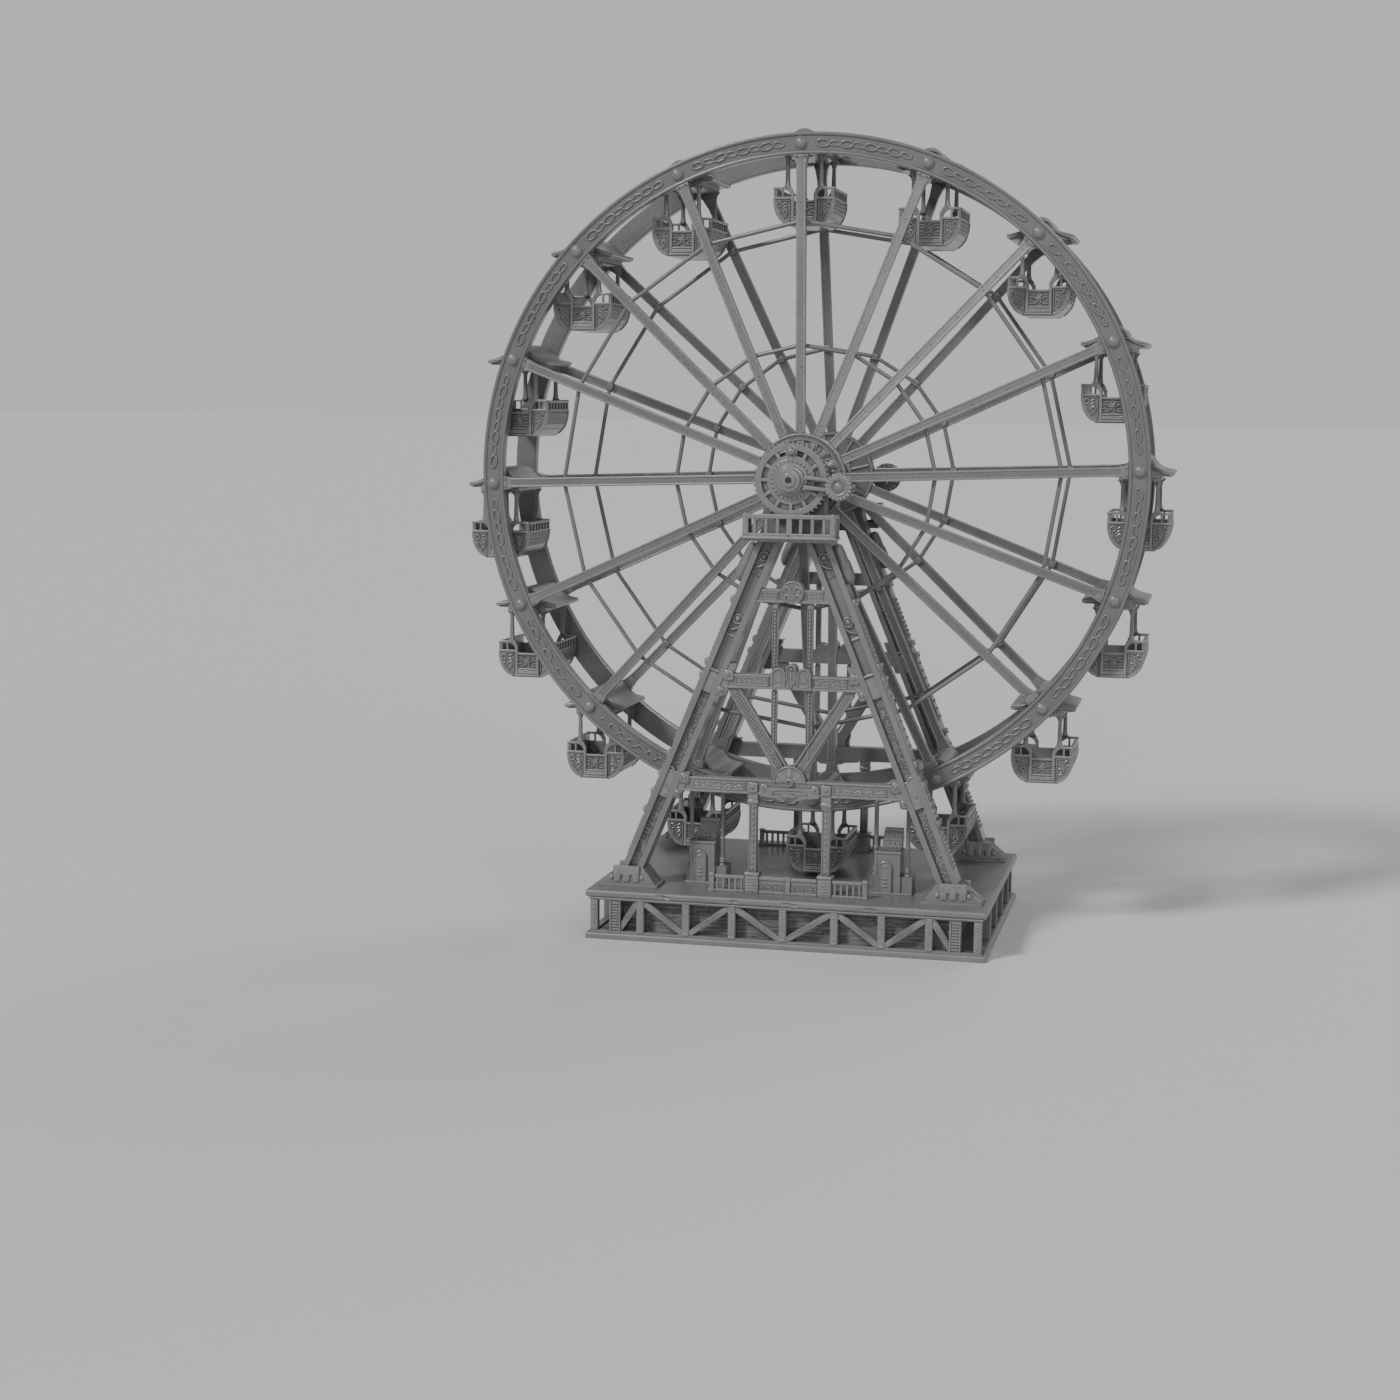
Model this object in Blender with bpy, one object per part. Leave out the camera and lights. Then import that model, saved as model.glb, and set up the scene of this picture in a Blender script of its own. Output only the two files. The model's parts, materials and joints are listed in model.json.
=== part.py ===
"""Fairground wheel with sixteen level gondolas on two leaning-leg towers, standing on a raised deck.

Metres, +Z up. The origin is the centre of the base on the ground. The wheel turns about Y.
"""
import math

import bmesh
import bpy
from mathutils import Matrix, Vector

SEAT_GAP = 0.0003
PIN_GAP = 0.0005
WELD = 0.01

# Base
BASE_WIDTH = 10.50
BASE_DEPTH = 8.19
PLINTH_TOP = 0.174
DECK_UNDERSIDE = 1.115
DECK_TOP = 1.304
EDGE_ROUND = 0.06
FRAME_INSET = 0.075
FRAME_DEPTH = 0.20
FRAME_HEAD = 0.085
FRAME_SILL = 0.05
POST_XS = (0.0, 1.34, 2.56, 3.78)
WIDE_POST_X = 4.45
CORNER_POST_X = 5.02
POST_WIDTH = 0.20
WIDE_POST_WIDTH = 0.30
SIDE_POST_YS = (0.78, 2.33)
BRACE_WIDTH = 0.15
WALL_X = 4.38
WALL_Y = 3.60
WALL_THICK = 0.08

# Towers: a leg's inner and outer edges run straight, and these are their half-spreads at LEG_REF_Z
LEG_REF_Z = 10.37
LEG_IN_REF = 0.36
LEG_IN_SLOPE = 0.4105
LEG_OUT_REF = 0.98
LEG_OUT_SLOPE = 0.4045
LEG_FRONT_Y = -3.38
LEG_BACK_Y = -2.74
LEG_FLANGE = 0.16
LEG_RECESS = 0.16
LEG_TOP_Z = 10.45
FOOT_HEIGHT = 0.50
FOOT_X = (3.46, 5.04)
FOOT_Y = (-3.50, -2.60)
FOOT_PLATE = 0.07
FOOT_CROWN_RIM = 0.06
FOOT_GRIP = 0.02
FLANK_HOUSING = ((10.36, 0.12), (9.96, 0.14), (9.93, 0.17), (9.60, 0.17), (9.46, 0.08))
FLANK_HOUSING_Y = -3.06
FLANK_HOUSING_OUT = 0.10
FLANK_HOUSING_SIDES = 10
BEAM_FRONT_Y = -3.33
BEAM_BACK_Y = -3.02
TOP_BEAM_Z = (8.90, 9.24)
MID_BEAM_Z = (6.66, 7.03)
LOW_BEAM_Z = (3.91, 4.30)
MEDALLION_R = 0.30
FAN_R = 0.43
ORNAMENT_PROUD = 0.05
MEDALLION_RISE = 0.10
CREST_HALF_WIDTH = 0.53
CREST_SIDE_ARCH = (0.335, 0.185, 7.04)
CREST_MIDDLE_ARCH = (0.0, 0.14, 7.19)
SWELL_OUTLINE = ((0.78, 4.12), (0.78, 3.87), (0.38, 3.84), (0.30, 3.79))
MID_GUSSET_Z = (6.45, 7.30)
LOW_GUSSET_Z = (3.70, 4.42)
GUSSET_WIDTH = 0.18
GUSSET_PROUD = 0.025
GUSSET_GAP = 0.002
V_BRACE_X = 1.55
V_BRACE_FOOT_X = 0.12
V_BRACE_WIDTH = 0.28
V_BRACE_Y = (-3.28, -3.07)
STRUT_X = 0.455
STRUT_WIDTH = 0.10
STRUT_Y = (-3.26, -3.12)
COLUMN_X = 0.96
COLUMN_Y = -3.20
COLUMN_WIDTH = 0.22
CAPITAL_WIDTH = 0.31
CAPITAL_HEIGHT = 0.28
PEDESTAL_WIDTH = 0.38
PEDESTAL_HEIGHT = 0.54
RAIL_Y = -3.32
RAIL_END_X = 2.02
RAIL_HEIGHT = 0.48
RAIL_POST = 0.13
RAIL_BAR = 0.09
RAIL_PANEL = 0.06

# Hub
HUB_Z = 12.05
AXLE_R = 0.25
AXLE_END_Y = 4.20
AXLE_SIDES = 24
HEAD_R = 0.80
HEAD_Z = LEG_TOP_Z + SEAT_GAP
HEAD_SHOULDER = (0.15, 10.90)
BRACKET_INNER_X = 0.50
BRACKET_MARGIN = 0.14
BRACKET_HALF_HEIGHT = 0.16
BRACKET_DEPTH = 0.27
COLLAR_R = 0.45
BALCONY_HALF_WIDTH = 1.19
BALCONY_Y = (-4.02, LEG_FRONT_Y - SEAT_GAP)
BALCONY_Z = (10.52, 11.19)
BALCONY_FLOOR = 0.12
BALCONY_BAR = 0.11
BALUSTERS = 7
BALUSTER_WIDTH = 0.07
GEAR_Y = (-3.84, -3.66)
GEAR_TEETH = 46
PINION_TEETH = 16
MODULE = 0.041
ADDENDUM = 0.75
DEDENDUM = 1.10
TIP_SHARE = 0.24
ROOT_SHARE = 0.56
PINION_ANGLE = math.radians(-6.3)
PINION_PIN_R = 0.08
PINION_PIN_SIDES = 12
PIN_TURN = math.radians(15.0)
PIN_PROUD = 0.03
ARM_Y = (-4.06, -3.87)
ARM_BOSS_R = 0.40
ARM_EYE_R = 0.19
ARM_BAR = 0.10
ARM_SPREAD = 0.13
ARM_START_R = 0.35
ARM_TAPER = 0.9
MOTOR_R = 0.36
MOTOR_LENGTH = 0.75
MOTOR_NOSE_LENGTH = 0.11
MOTOR_NOSE_R = 0.25
MOTOR_SIDES = 20
BARREL_R = 0.46

# Wheel
GONDOLAS = 16
PHASE = math.radians(2.06)
PIVOT_R = 8.56
RIM_OUT_R = 8.84
RIM_IN_R = 8.28
RIM_SEGMENTS = 48
RIM_Y = (-1.655, -1.335)
RIM_FLANGE = 0.09
RIM_RECESS = 0.04
FLANGE_R = 1.165
FLANGE_SIDES = 32
OUTER_PLATE_Y = (-2.42, -2.37)
INNER_PLATE_Y = (-2.365, -2.315)
SPOKE_HUB_Y = -2.3675
SPOKE_INNER_R = 1.17
SPOKE_TONGUE = (1.00, 1.26)
SPOKE_WIDTH = 0.24
SPOKE_DEPTH = 0.20
SPOKE_HUB_DEPTH = 0.13
SPOKE_FOOT = (0.36, 0.26, 0.08)
SPOKE_FOOT_TAPER = 0.8
TONGUE_MARGIN = 0.01
RING_RS = (6.60, 3.42)
RING_ROD_R = 0.06
RING_SIDES = 6

# Gondola: heights are above its floor, and the pivot is the local origin
FLOOR_BELOW_PIVOT = 2.04
TUB_HALF_LENGTH = 1.00
TUB_WALL = 0.055
TUB_OUTLINE = ((0.40, 0.0), (0.68, 0.24), (0.79, 0.56), (0.79, 0.95))
SEAT_EDGE_X = 0.37
SEAT_HEIGHT = 0.42
FLOOR_THICK = 0.06
PANEL_THICK = 0.07
PANEL_OUTLINE = ((0.40, -0.01), (0.69, 0.235), (0.80, 0.56), (0.80, 0.975), (0.50, 0.985), (0.44, 1.04),
                 (0.31, 0.95), (0.25, 0.66))
POST_X = 0.44
POST_SIZE = 0.10
CANOPY_UNDERSIDE = 1.785
CANOPY_PROFILE = ((0.0, 0.43), (0.19, 0.39), (0.34, 0.25), (0.50, 0.07), (0.83, 0.0), (0.83, -0.12),
                  (0.56, -0.11))
CANOPY_HALF_LENGTH = 1.12
FRAME_HALF_WIDTH = 0.54
FRAME_HALF_LENGTH = 1.06
ROD_R = 0.055
ROD_SIDES = 6
CAP_R = 0.17
CAP_SIDES = 10
CAP_Y = (1.62, 1.70)
CAP_TAPER = 0.62
ROD_GRIP = 0.02
POST_FOOT_Z = 0.93

# Cabinets on the deck: centre x, front y
CABINETS = {"left_cabinet": (-2.40, -2.32), "right_cabinet": (2.57, -2.42)}
CABINET_WIDTH = 1.08
CABINET_DEPTH = 0.66
CABINET_HEIGHTS = (0.45, 1.10, 1.66)
HOUSING_INSET = (0.10, 0.30)
HOUSING_Y = (-0.06, 0.61)
RIDGE_FOOT = (0.22, 0.34, 0.22, 0.58)
RIDGE_TOP = (0.30, 0.30, 0.36, 0.54)
DOOR_HALF_WIDTH = 0.15
DOOR_X = 0.39
DOOR_SPRING = 0.70
DOOR_PROUD = 0.05
POLE_R = 0.06
POLE_INSET = (0.10, 0.14)
POLE_SETBACK = 0.15
POLE_TOP_Z = 3.72


def clear_scene():
    for item in list(bpy.data.objects):
        bpy.data.objects.remove(item, do_unlink=True)


def make_material(name, colour, roughness, metallic):
    material = bpy.data.materials.new(name)
    material.use_nodes = True
    shader = material.node_tree.nodes["Principled BSDF"]
    shader.inputs["Base Color"].default_value = (*colour, 1.0)
    shader.inputs["Roughness"].default_value = roughness
    shader.inputs["Metallic"].default_value = metallic
    material.diffuse_color = (*colour, 1.0)
    return material


def add_object(name, mesh):
    item = bpy.data.objects.new(name, mesh)
    bpy.context.scene.collection.objects.link(item)
    return item


def mesh_from(name, points, faces):
    shape = bmesh.new()
    verts = [shape.verts.new(point) for point in points]
    for face in faces:
        shape.faces.new([verts[index] for index in face])
    bmesh.ops.recalc_face_normals(shape, faces=shape.faces)
    mesh = bpy.data.meshes.new(name)
    shape.to_mesh(mesh)
    shape.free()
    return add_object(name, mesh)


def loft(lower, upper, name="piece"):
    """Closed solid between two outlines with the same number of points."""
    count = len(lower)
    faces = [tuple(range(count)), tuple(range(count, 2 * count))]
    for index in range(count):
        after = (index + 1) % count
        faces.append((index, after, count + after, count + index))
    return mesh_from(name, list(lower) + list(upper), faces)


def prism_y(outline, y_low, y_high, name="piece"):
    """Outline of (x, z) points carried along Y."""
    return loft([(x, y_low, z) for x, z in outline], [(x, y_high, z) for x, z in outline], name)


def block(x_range, y_range, z_range, name="piece"):
    x0, x1 = x_range
    z0, z1 = z_range
    return prism_y([(x0, z0), (x1, z0), (x1, z1), (x0, z1)], y_range[0], y_range[1], name)


def circle(radius, sides, turn=0.0, centre=(0.0, 0.0)):
    step = 2.0 * math.pi / sides
    return [(centre[0] + radius * math.cos(turn + step * index), centre[1] + radius * math.sin(turn + step * index))
            for index in range(sides)]


def drum_y(radius, y_low, y_high, sides, turn=0.0, centre=(0.0, 0.0), name="piece"):
    return prism_y(circle(radius, sides, turn, centre), y_low, y_high, name)


def bore_radius(pin_radius, sides):
    """Corner radius of a bore whose flats clear the pin's corners."""
    return (pin_radius + PIN_GAP) / math.cos(math.pi / sides)


def combine(name, base, others, operation):
    """Joins the others to the base, or cuts them from it, and keeps one closed mesh."""
    for other in others:
        step = base.modifiers.new("step", "BOOLEAN")
        step.operation = operation
        step.solver = "EXACT"
        step.object = other
    bpy.context.view_layer.update()
    result = base.evaluated_get(bpy.context.evaluated_depsgraph_get())
    mesh = bpy.data.meshes.new_from_object(result)
    mesh.name = name
    for item in [base, *others]:
        bpy.data.objects.remove(item, do_unlink=True)
    return add_object(name, mesh)


def fuse(name, pieces):
    return combine(name, pieces[0], pieces[1:], "UNION")


def cut(name, base, cutters):
    return combine(name, base, cutters, "DIFFERENCE")


def mirrored(source, name, axis):
    """Copy of a finished object, mirrored across the plane through the origin that the axis names."""
    mesh = source.data.copy()
    mesh.name = name
    mesh.transform(Matrix.Scale(-1.0, 4, Vector(axis)))
    mesh.flip_normals()
    item = add_object(name, mesh)
    place = source.location.copy()
    item.location = [-value if flag else value for value, flag in zip(place, axis)]
    return item


def finish(items, material, smooth=False):
    for item in items:
        item.data.materials.clear()
        item.data.materials.append(material)
        if smooth:
            item.data.shade_smooth()
            item.data.set_sharp_from_angle(angle=math.radians(35.0))
        else:
            item.data.shade_flat()


def hold_at(items, place):
    for item in items:
        item.location = place


def leg_in(z):
    return LEG_IN_REF + LEG_IN_SLOPE * (LEG_REF_Z - z)


def leg_out(z):
    return LEG_OUT_REF + LEG_OUT_SLOPE * (LEG_REF_Z - z)


def make_slabs(material):
    half_w = BASE_WIDTH / 2.0
    half_d = BASE_DEPTH / 2.0
    slabs = [block((-half_w, half_w), (-half_d, half_d), (0.0, PLINTH_TOP), "plinth_slab"),
             block((-half_w, half_w), (-half_d, half_d), (DECK_UNDERSIDE, DECK_TOP), "deck_slab")]
    for slab in slabs:
        shape = bmesh.new()
        shape.from_mesh(slab.data)
        rounded = [edge for edge in shape.edges if keeps_round(edge, slab.name)]
        bmesh.ops.bevel(shape, geom=rounded, offset=EDGE_ROUND, segments=2, affect="EDGES", profile=0.5)
        shape.to_mesh(slab.data)
        shape.free()
    finish(slabs, material)


def keeps_round(edge, slab_name):
    """The plinth is rounded along its top edge, the deck along its top and bottom edges."""
    heights = [vert.co.z for vert in edge.verts]
    level = abs(heights[0] - heights[1]) < 1e-6
    if slab_name == "plinth_slab":
        return level and heights[0] > 0.0
    return level


def brace_between(start, end, width, y_low, y_high):
    """Flat diagonal bar between two (x, z) points."""
    along = (Vector(end) - Vector(start)).normalized()
    side = Vector((-along.y, along.x)) * (width / 2.0)
    corners = [Vector(start) - side, Vector(end) - side, Vector(end) + side, Vector(start) + side]
    return prism_y([tuple(corner) for corner in corners], y_low, y_high)


def level_ended_brace(start, end, width, y_low, y_high):
    """Flat diagonal bar between two (x, z) points, with level ends."""
    run = end[0] - start[0]
    rise = end[1] - start[1]
    half = width / 2.0 * math.hypot(run, rise) / abs(rise)
    corners = [(start[0] - half, start[1]), (start[0] + half, start[1]), (end[0] + half, end[1]),
               (end[0] - half, end[1])]
    return prism_y(corners, y_low, y_high)


def make_base_frames(material):
    """Post-and-diagonal frames along the four sides, between the plinth and the deck."""
    low = PLINTH_TOP + SEAT_GAP
    high = DECK_UNDERSIDE - SEAT_GAP
    front = -BASE_DEPTH / 2.0 + FRAME_INSET
    back = front + FRAME_DEPTH
    inner_low = low + FRAME_SILL
    inner_high = high - FRAME_HEAD
    half = CORNER_POST_X + POST_WIDTH / 2.0
    overlap = 0.01
    pieces = [block((-half, half), (front, back), (inner_high, high)),
              block((-half, half), (front, back), (low, inner_low))]
    posts = [(x, POST_WIDTH) for x in POST_XS] + [(WIDE_POST_X, WIDE_POST_WIDTH), (CORNER_POST_X, POST_WIDTH)]
    for x, width in posts:
        for sign in ((1.0,) if x == 0.0 else (1.0, -1.0)):
            centre = sign * x
            pieces.append(block((centre - width / 2.0, centre + width / 2.0), (front + 0.01, back - 0.01),
                                (inner_low - overlap, inner_high + overlap)))
    stations = [*POST_XS, WIDE_POST_X]
    for index in range(len(stations) - 1):
        near = stations[index] + POST_WIDTH * 0.35
        far = stations[index + 1] - POST_WIDTH * 0.35
        rising = index % 2 == 0
        bottom = inner_low - overlap
        top = inner_high + overlap
        z_near, z_far = (bottom, top) if rising else (top, bottom)
        for sign in (1.0, -1.0):
            pieces.append(level_ended_brace((sign * near, z_near), (sign * far, z_far), BRACE_WIDTH,
                                            front + 0.05, back - 0.03))
    front_frame = fuse("base_front_frame", pieces)
    rear_frame = mirrored(front_frame, "base_rear_frame", (0, 1, 0))

    outer = BASE_WIDTH / 2.0 - FRAME_INSET
    inner = outer - FRAME_DEPTH
    reach = -back - SEAT_GAP
    side = [block((inner, outer), (-reach, reach), (inner_high, high)),
            block((inner, outer), (-reach, reach), (low, inner_low))]
    for y in SIDE_POST_YS:
        for sign in (1.0, -1.0):
            side.append(block((inner + 0.01, outer - 0.01), (sign * y - POST_WIDTH / 2.0, sign * y + POST_WIDTH / 2.0),
                              (inner_low - overlap, inner_high + overlap)))
    right_frame = fuse("base_right_frame", side)
    left_frame = mirrored(right_frame, "base_left_frame", (1, 0, 0))
    finish([front_frame, rear_frame, left_frame, right_frame], material)


def make_base_walls(material):
    z_range = (PLINTH_TOP + SEAT_GAP, DECK_UNDERSIDE - SEAT_GAP)
    front = block((-WALL_X, WALL_X), (-WALL_Y - WALL_THICK, -WALL_Y), z_range, "base_front_wall")
    rear = mirrored(front, "base_rear_wall", (0, 1, 0))
    reach = WALL_Y - SEAT_GAP
    right = block((WALL_X - WALL_THICK, WALL_X), (-reach, reach), z_range, "base_right_wall")
    left = mirrored(right, "base_left_wall", (1, 0, 0))
    finish([front, rear, left, right], material)


def leg_section(z):
    """H-shaped outline of a leg at one height, open to the front and back."""
    inner = leg_in(z)
    outer = leg_out(z)
    a = inner + LEG_FLANGE
    b = outer - LEG_FLANGE
    f = LEG_FRONT_Y
    r = LEG_BACK_Y
    return [(inner, f, z), (a, f, z), (a, f + LEG_RECESS, z), (b, f + LEG_RECESS, z), (b, f, z), (outer, f, z),
            (outer, r, z), (b, r, z), (b, r - LEG_RECESS, z), (a, r - LEG_RECESS, z), (a, r, z), (inner, r, z)]


def flank_housing():
    """Round housing on a leg's outer flank, its rings running from the top one down."""
    points = []
    for z, radius in FLANK_HOUSING:
        centre = (leg_out(z) + FLANK_HOUSING_OUT, FLANK_HOUSING_Y)
        points += [(x, y, z) for x, y in circle(radius, FLANK_HOUSING_SIDES, 0.0, centre)]
    sides = FLANK_HOUSING_SIDES
    levels = len(FLANK_HOUSING)
    faces = [tuple(range(sides)), tuple(range((levels - 1) * sides, levels * sides))]
    for level in range(levels - 1):
        for side in range(sides):
            after = (side + 1) % sides
            low = level * sides
            faces.append((low + side, low + after, low + sides + after, low + sides + side))
    return mesh_from("housing", points, faces)


def make_legs(material):
    base_z = DECK_TOP + SEAT_GAP
    plate_z = base_z + FOOT_PLATE
    top_z = base_z + FOOT_HEIGHT
    x0, x1 = FOOT_X
    y0, y1 = FOOT_Y

    def ring(margin, z):
        return [(x0 + margin, y0 + margin, z), (x1 - margin, y0 + margin, z),
                (x1 - margin, y1 - margin, z), (x0 + margin, y1 - margin, z)]

    grip = FOOT_GRIP
    near_x = leg_in(top_z) - grip
    far_x = leg_out(top_z) + grip
    crown = [(near_x, LEG_FRONT_Y - grip, top_z), (far_x, LEG_FRONT_Y - grip, top_z),
             (far_x, LEG_BACK_Y + grip, top_z), (near_x, LEG_BACK_Y + grip, top_z)]
    pieces = [loft(leg_section(plate_z), leg_section(LEG_TOP_Z)),
              loft(ring(0.0, base_z), ring(0.0, plate_z)),
              loft(ring(FOOT_CROWN_RIM, plate_z - WELD), crown),
              flank_housing()]
    front_right = fuse("front_right_leg", pieces)
    front_left = mirrored(front_right, "front_left_leg", (1, 0, 0))
    rear_right = mirrored(front_right, "rear_right_leg", (0, 1, 0))
    rear_left = mirrored(front_left, "rear_left_leg", (0, 1, 0))
    finish([front_left, front_right, rear_left, rear_right], material)


def cross_beam(z_range):
    """Beam whose ends follow the slope of the legs."""
    z0, z1 = z_range
    low = leg_in(z0) - SEAT_GAP
    high = leg_in(z1) - SEAT_GAP
    return prism_y([(-low, z0), (low, z0), (high, z1), (-high, z1)], BEAM_FRONT_Y, BEAM_BACK_Y)


def end_gusset(z_range, side):
    """Strip along a leg's inner flank that stiffens a beam's end."""
    z0, z1 = z_range
    low = leg_in(z0) - GUSSET_GAP
    high = leg_in(z1) - GUSSET_GAP
    corners = [(side * low, z0), (side * high, z1), (side * (high - GUSSET_WIDTH), z1),
               (side * (low - GUSSET_WIDTH), z0)]
    return prism_y(corners, BEAM_FRONT_Y - GUSSET_PROUD, BEAM_BACK_Y - WELD)


def arch_points(arch, steps):
    """Half circle over a springing height, from left to right."""
    centre, radius, spring = arch
    return [(centre - radius * math.cos(math.pi * step / steps), spring + radius * math.sin(math.pi * step / steps))
            for step in range(steps + 1)]


def crest_outline():
    """Three arches over the middle beam, the middle one raised."""
    x, radius, spring = CREST_SIDE_ARCH
    foot = MID_BEAM_Z[0] + WELD
    return [(-CREST_HALF_WIDTH, foot), (-CREST_HALF_WIDTH, spring - WELD), *arch_points((-x, radius, spring), 6),
            *arch_points(CREST_MIDDLE_ARCH, 6), *arch_points((x, radius, spring), 6),
            (CREST_HALF_WIDTH, spring - WELD), (CREST_HALF_WIDTH, foot)]


def make_bracing(material):
    v_y = V_BRACE_Y
    pieces = [cross_beam(TOP_BEAM_Z), cross_beam(MID_BEAM_Z), cross_beam(LOW_BEAM_Z)]
    for z_range in (MID_GUSSET_Z, LOW_GUSSET_Z):
        pieces += [end_gusset(z_range, 1.0), end_gusset(z_range, -1.0)]
    swell = [*SWELL_OUTLINE, *[(-x, z) for x, z in reversed(SWELL_OUTLINE)]]
    for sign in (1.0, -1.0):
        pieces.append(level_ended_brace((sign * V_BRACE_X, MID_BEAM_Z[0] + 0.05),
                                        (sign * V_BRACE_FOOT_X, LOW_BEAM_Z[1] - 0.03), V_BRACE_WIDTH, v_y[0], v_y[1]))
        centre = sign * STRUT_X
        pieces.append(block((centre - STRUT_WIDTH / 2.0, centre + STRUT_WIDTH / 2.0), STRUT_Y,
                            (LOW_BEAM_Z[1] - 0.03, TOP_BEAM_Z[0] + 0.03)))
    front_face = BEAM_FRONT_Y - ORNAMENT_PROUD
    back_face = BEAM_BACK_Y - ORNAMENT_PROUD
    medallion_z = sum(TOP_BEAM_Z) / 2.0 + MEDALLION_RISE
    pieces.append(drum_y(MEDALLION_R, front_face, back_face, 16, centre=(0.0, medallion_z)))
    fan = arch_points((0.0, FAN_R, LOW_BEAM_Z[1] - 0.04), 8)
    pieces.append(prism_y(fan, front_face + WELD, back_face))
    pieces.append(prism_y(crest_outline(), front_face + 0.5 * WELD, BEAM_BACK_Y - 1.5 * WELD))
    pieces.append(prism_y(swell, front_face, BEAM_BACK_Y - 1.5 * WELD))
    front = fuse("front_tower_bracing", pieces)
    rear = mirrored(front, "rear_tower_bracing", (0, 1, 0))
    finish([front, rear], material)


def make_railings(material):
    """Low railing between the tower's feet, with the two columns that carry the lower beam."""
    base_z = DECK_TOP + SEAT_GAP
    rail_top = base_z + RAIL_HEIGHT

    def centred(x, width, z_range, y_mid=COLUMN_Y):
        half = width / 2.0
        return block((x - half, x + half), (y_mid - half, y_mid + half), z_range)

    pieces = [block((-RAIL_END_X, RAIL_END_X), (RAIL_Y - RAIL_BAR / 2.0, RAIL_Y + RAIL_BAR / 2.0),
                    (rail_top - 0.13, rail_top - 0.04)),
              block((-RAIL_END_X, RAIL_END_X), (RAIL_Y - RAIL_PANEL / 2.0, RAIL_Y + RAIL_PANEL / 2.0),
                    (base_z, rail_top - 0.12))]
    capital_low = LOW_BEAM_Z[0] - SEAT_GAP - CAPITAL_HEIGHT
    for sign in (1.0, -1.0):
        pieces.append(centred(sign * RAIL_END_X, RAIL_POST, (base_z, rail_top), RAIL_Y))
        pieces.append(centred(sign * COLUMN_X, PEDESTAL_WIDTH, (base_z, base_z + PEDESTAL_HEIGHT)))
        pieces.append(centred(sign * COLUMN_X, COLUMN_WIDTH, (base_z + PEDESTAL_HEIGHT - 0.02, capital_low + 0.02)))
        pieces.append(centred(sign * COLUMN_X, CAPITAL_WIDTH, (capital_low, capital_low + CAPITAL_HEIGHT)))
    pieces.append(centred(0.0, RAIL_POST, (base_z, rail_top - 0.02), RAIL_Y))
    front = fuse("front_railing", pieces)
    rear = mirrored(front, "rear_railing", (0, 1, 0))
    finish([front, rear], material)


def pinion_centre():
    spacing = MODULE * (GEAR_TEETH + PINION_TEETH) / 2.0
    return spacing * math.cos(PINION_ANGLE), HUB_Z + spacing * math.sin(PINION_ANGLE)


def make_heads(material):
    """Bearing heads on the leg tops, with the pinion's bracket and pin."""
    low = HEAD_Z
    inset, shoulder = HEAD_SHOULDER
    bottom = leg_out(low)
    arc = [(HEAD_R * math.cos(angle), HUB_Z + HEAD_R * math.sin(angle))
           for angle in [math.radians(-10.0 + 20.0 * index) for index in range(11)]]
    outline = [(-bottom, low), (bottom, low), (bottom - inset, shoulder), *arc, (-bottom + inset, shoulder)]
    px, pz = pinion_centre()
    bracket = block((BRACKET_INNER_X, px + BRACKET_MARGIN), (LEG_FRONT_Y + WELD, LEG_FRONT_Y + WELD + BRACKET_DEPTH),
                    (pz - BRACKET_HALF_HEIGHT, pz + BRACKET_HALF_HEIGHT))
    pin = drum_y(PINION_PIN_R, ARM_Y[0] - PIN_PROUD, LEG_FRONT_Y + 0.10, PINION_PIN_SIDES, PIN_TURN, (px, pz))
    collar = drum_y(COLLAR_R, GEAR_Y[1] + 0.03, LEG_FRONT_Y + 0.05, AXLE_SIDES, centre=(0.0, HUB_Z))
    solid = fuse("head", [prism_y(outline, LEG_FRONT_Y, LEG_BACK_Y), bracket, pin, collar])
    bore = drum_y(bore_radius(AXLE_R, AXLE_SIDES), GEAR_Y[1], LEG_BACK_Y + 0.1, AXLE_SIDES,
                  turn=math.pi / AXLE_SIDES, centre=(0.0, HUB_Z))
    front = cut("front_tower_head", solid, [bore])
    rear = mirrored(front, "rear_tower_head", (0, 1, 0))
    finish([front, rear], material)


def make_balconies(material):
    """Service balcony below the hub: a floor, a bar frame and balusters along the front."""
    half = BALCONY_HALF_WIDTH
    y0, y1 = BALCONY_Y
    z0, z1 = BALCONY_Z
    bar = BALCONY_BAR
    pieces = [block((-half, half), (y0, y1), (z0, z0 + BALCONY_FLOOR)),
              block((-half, half), (y0, y0 + bar), (z1 - bar, z1))]
    for sign in (1.0, -1.0):
        side_x = (half - bar, half) if sign > 0 else (-half, -half + bar)
        panel_x = (side_x[0] + 0.02, side_x[1] - 0.02)
        pieces.append(block(panel_x, (y0 + 0.02, y1), (z0 + 0.05, z1 - 0.05)))
        pieces.append(block(side_x, (y0 + 0.01, y1), (z1 - bar + 0.01, z1 - 0.01)))
        pieces.append(block(side_x, (y0 + 0.005, y0 + bar - 0.005), (z0 + 0.05, z1 - 0.03)))
        pieces.append(block(side_x, (y1 - bar, y1 - 0.005), (z0 + 0.05, z1 - 0.03)))
    for index in range(1, BALUSTERS + 1):
        x = -half + 2.0 * half * index / (BALUSTERS + 1.0)
        pieces.append(block((x - BALUSTER_WIDTH / 2.0, x + BALUSTER_WIDTH / 2.0), (y0 + 0.02, y0 + bar - 0.02),
                            (z0 + 0.05, z1 - 0.03)))
    front = fuse("front_balcony", pieces)
    rear = mirrored(front, "rear_balcony", (0, 1, 0))
    finish([front, rear], material)


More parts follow.
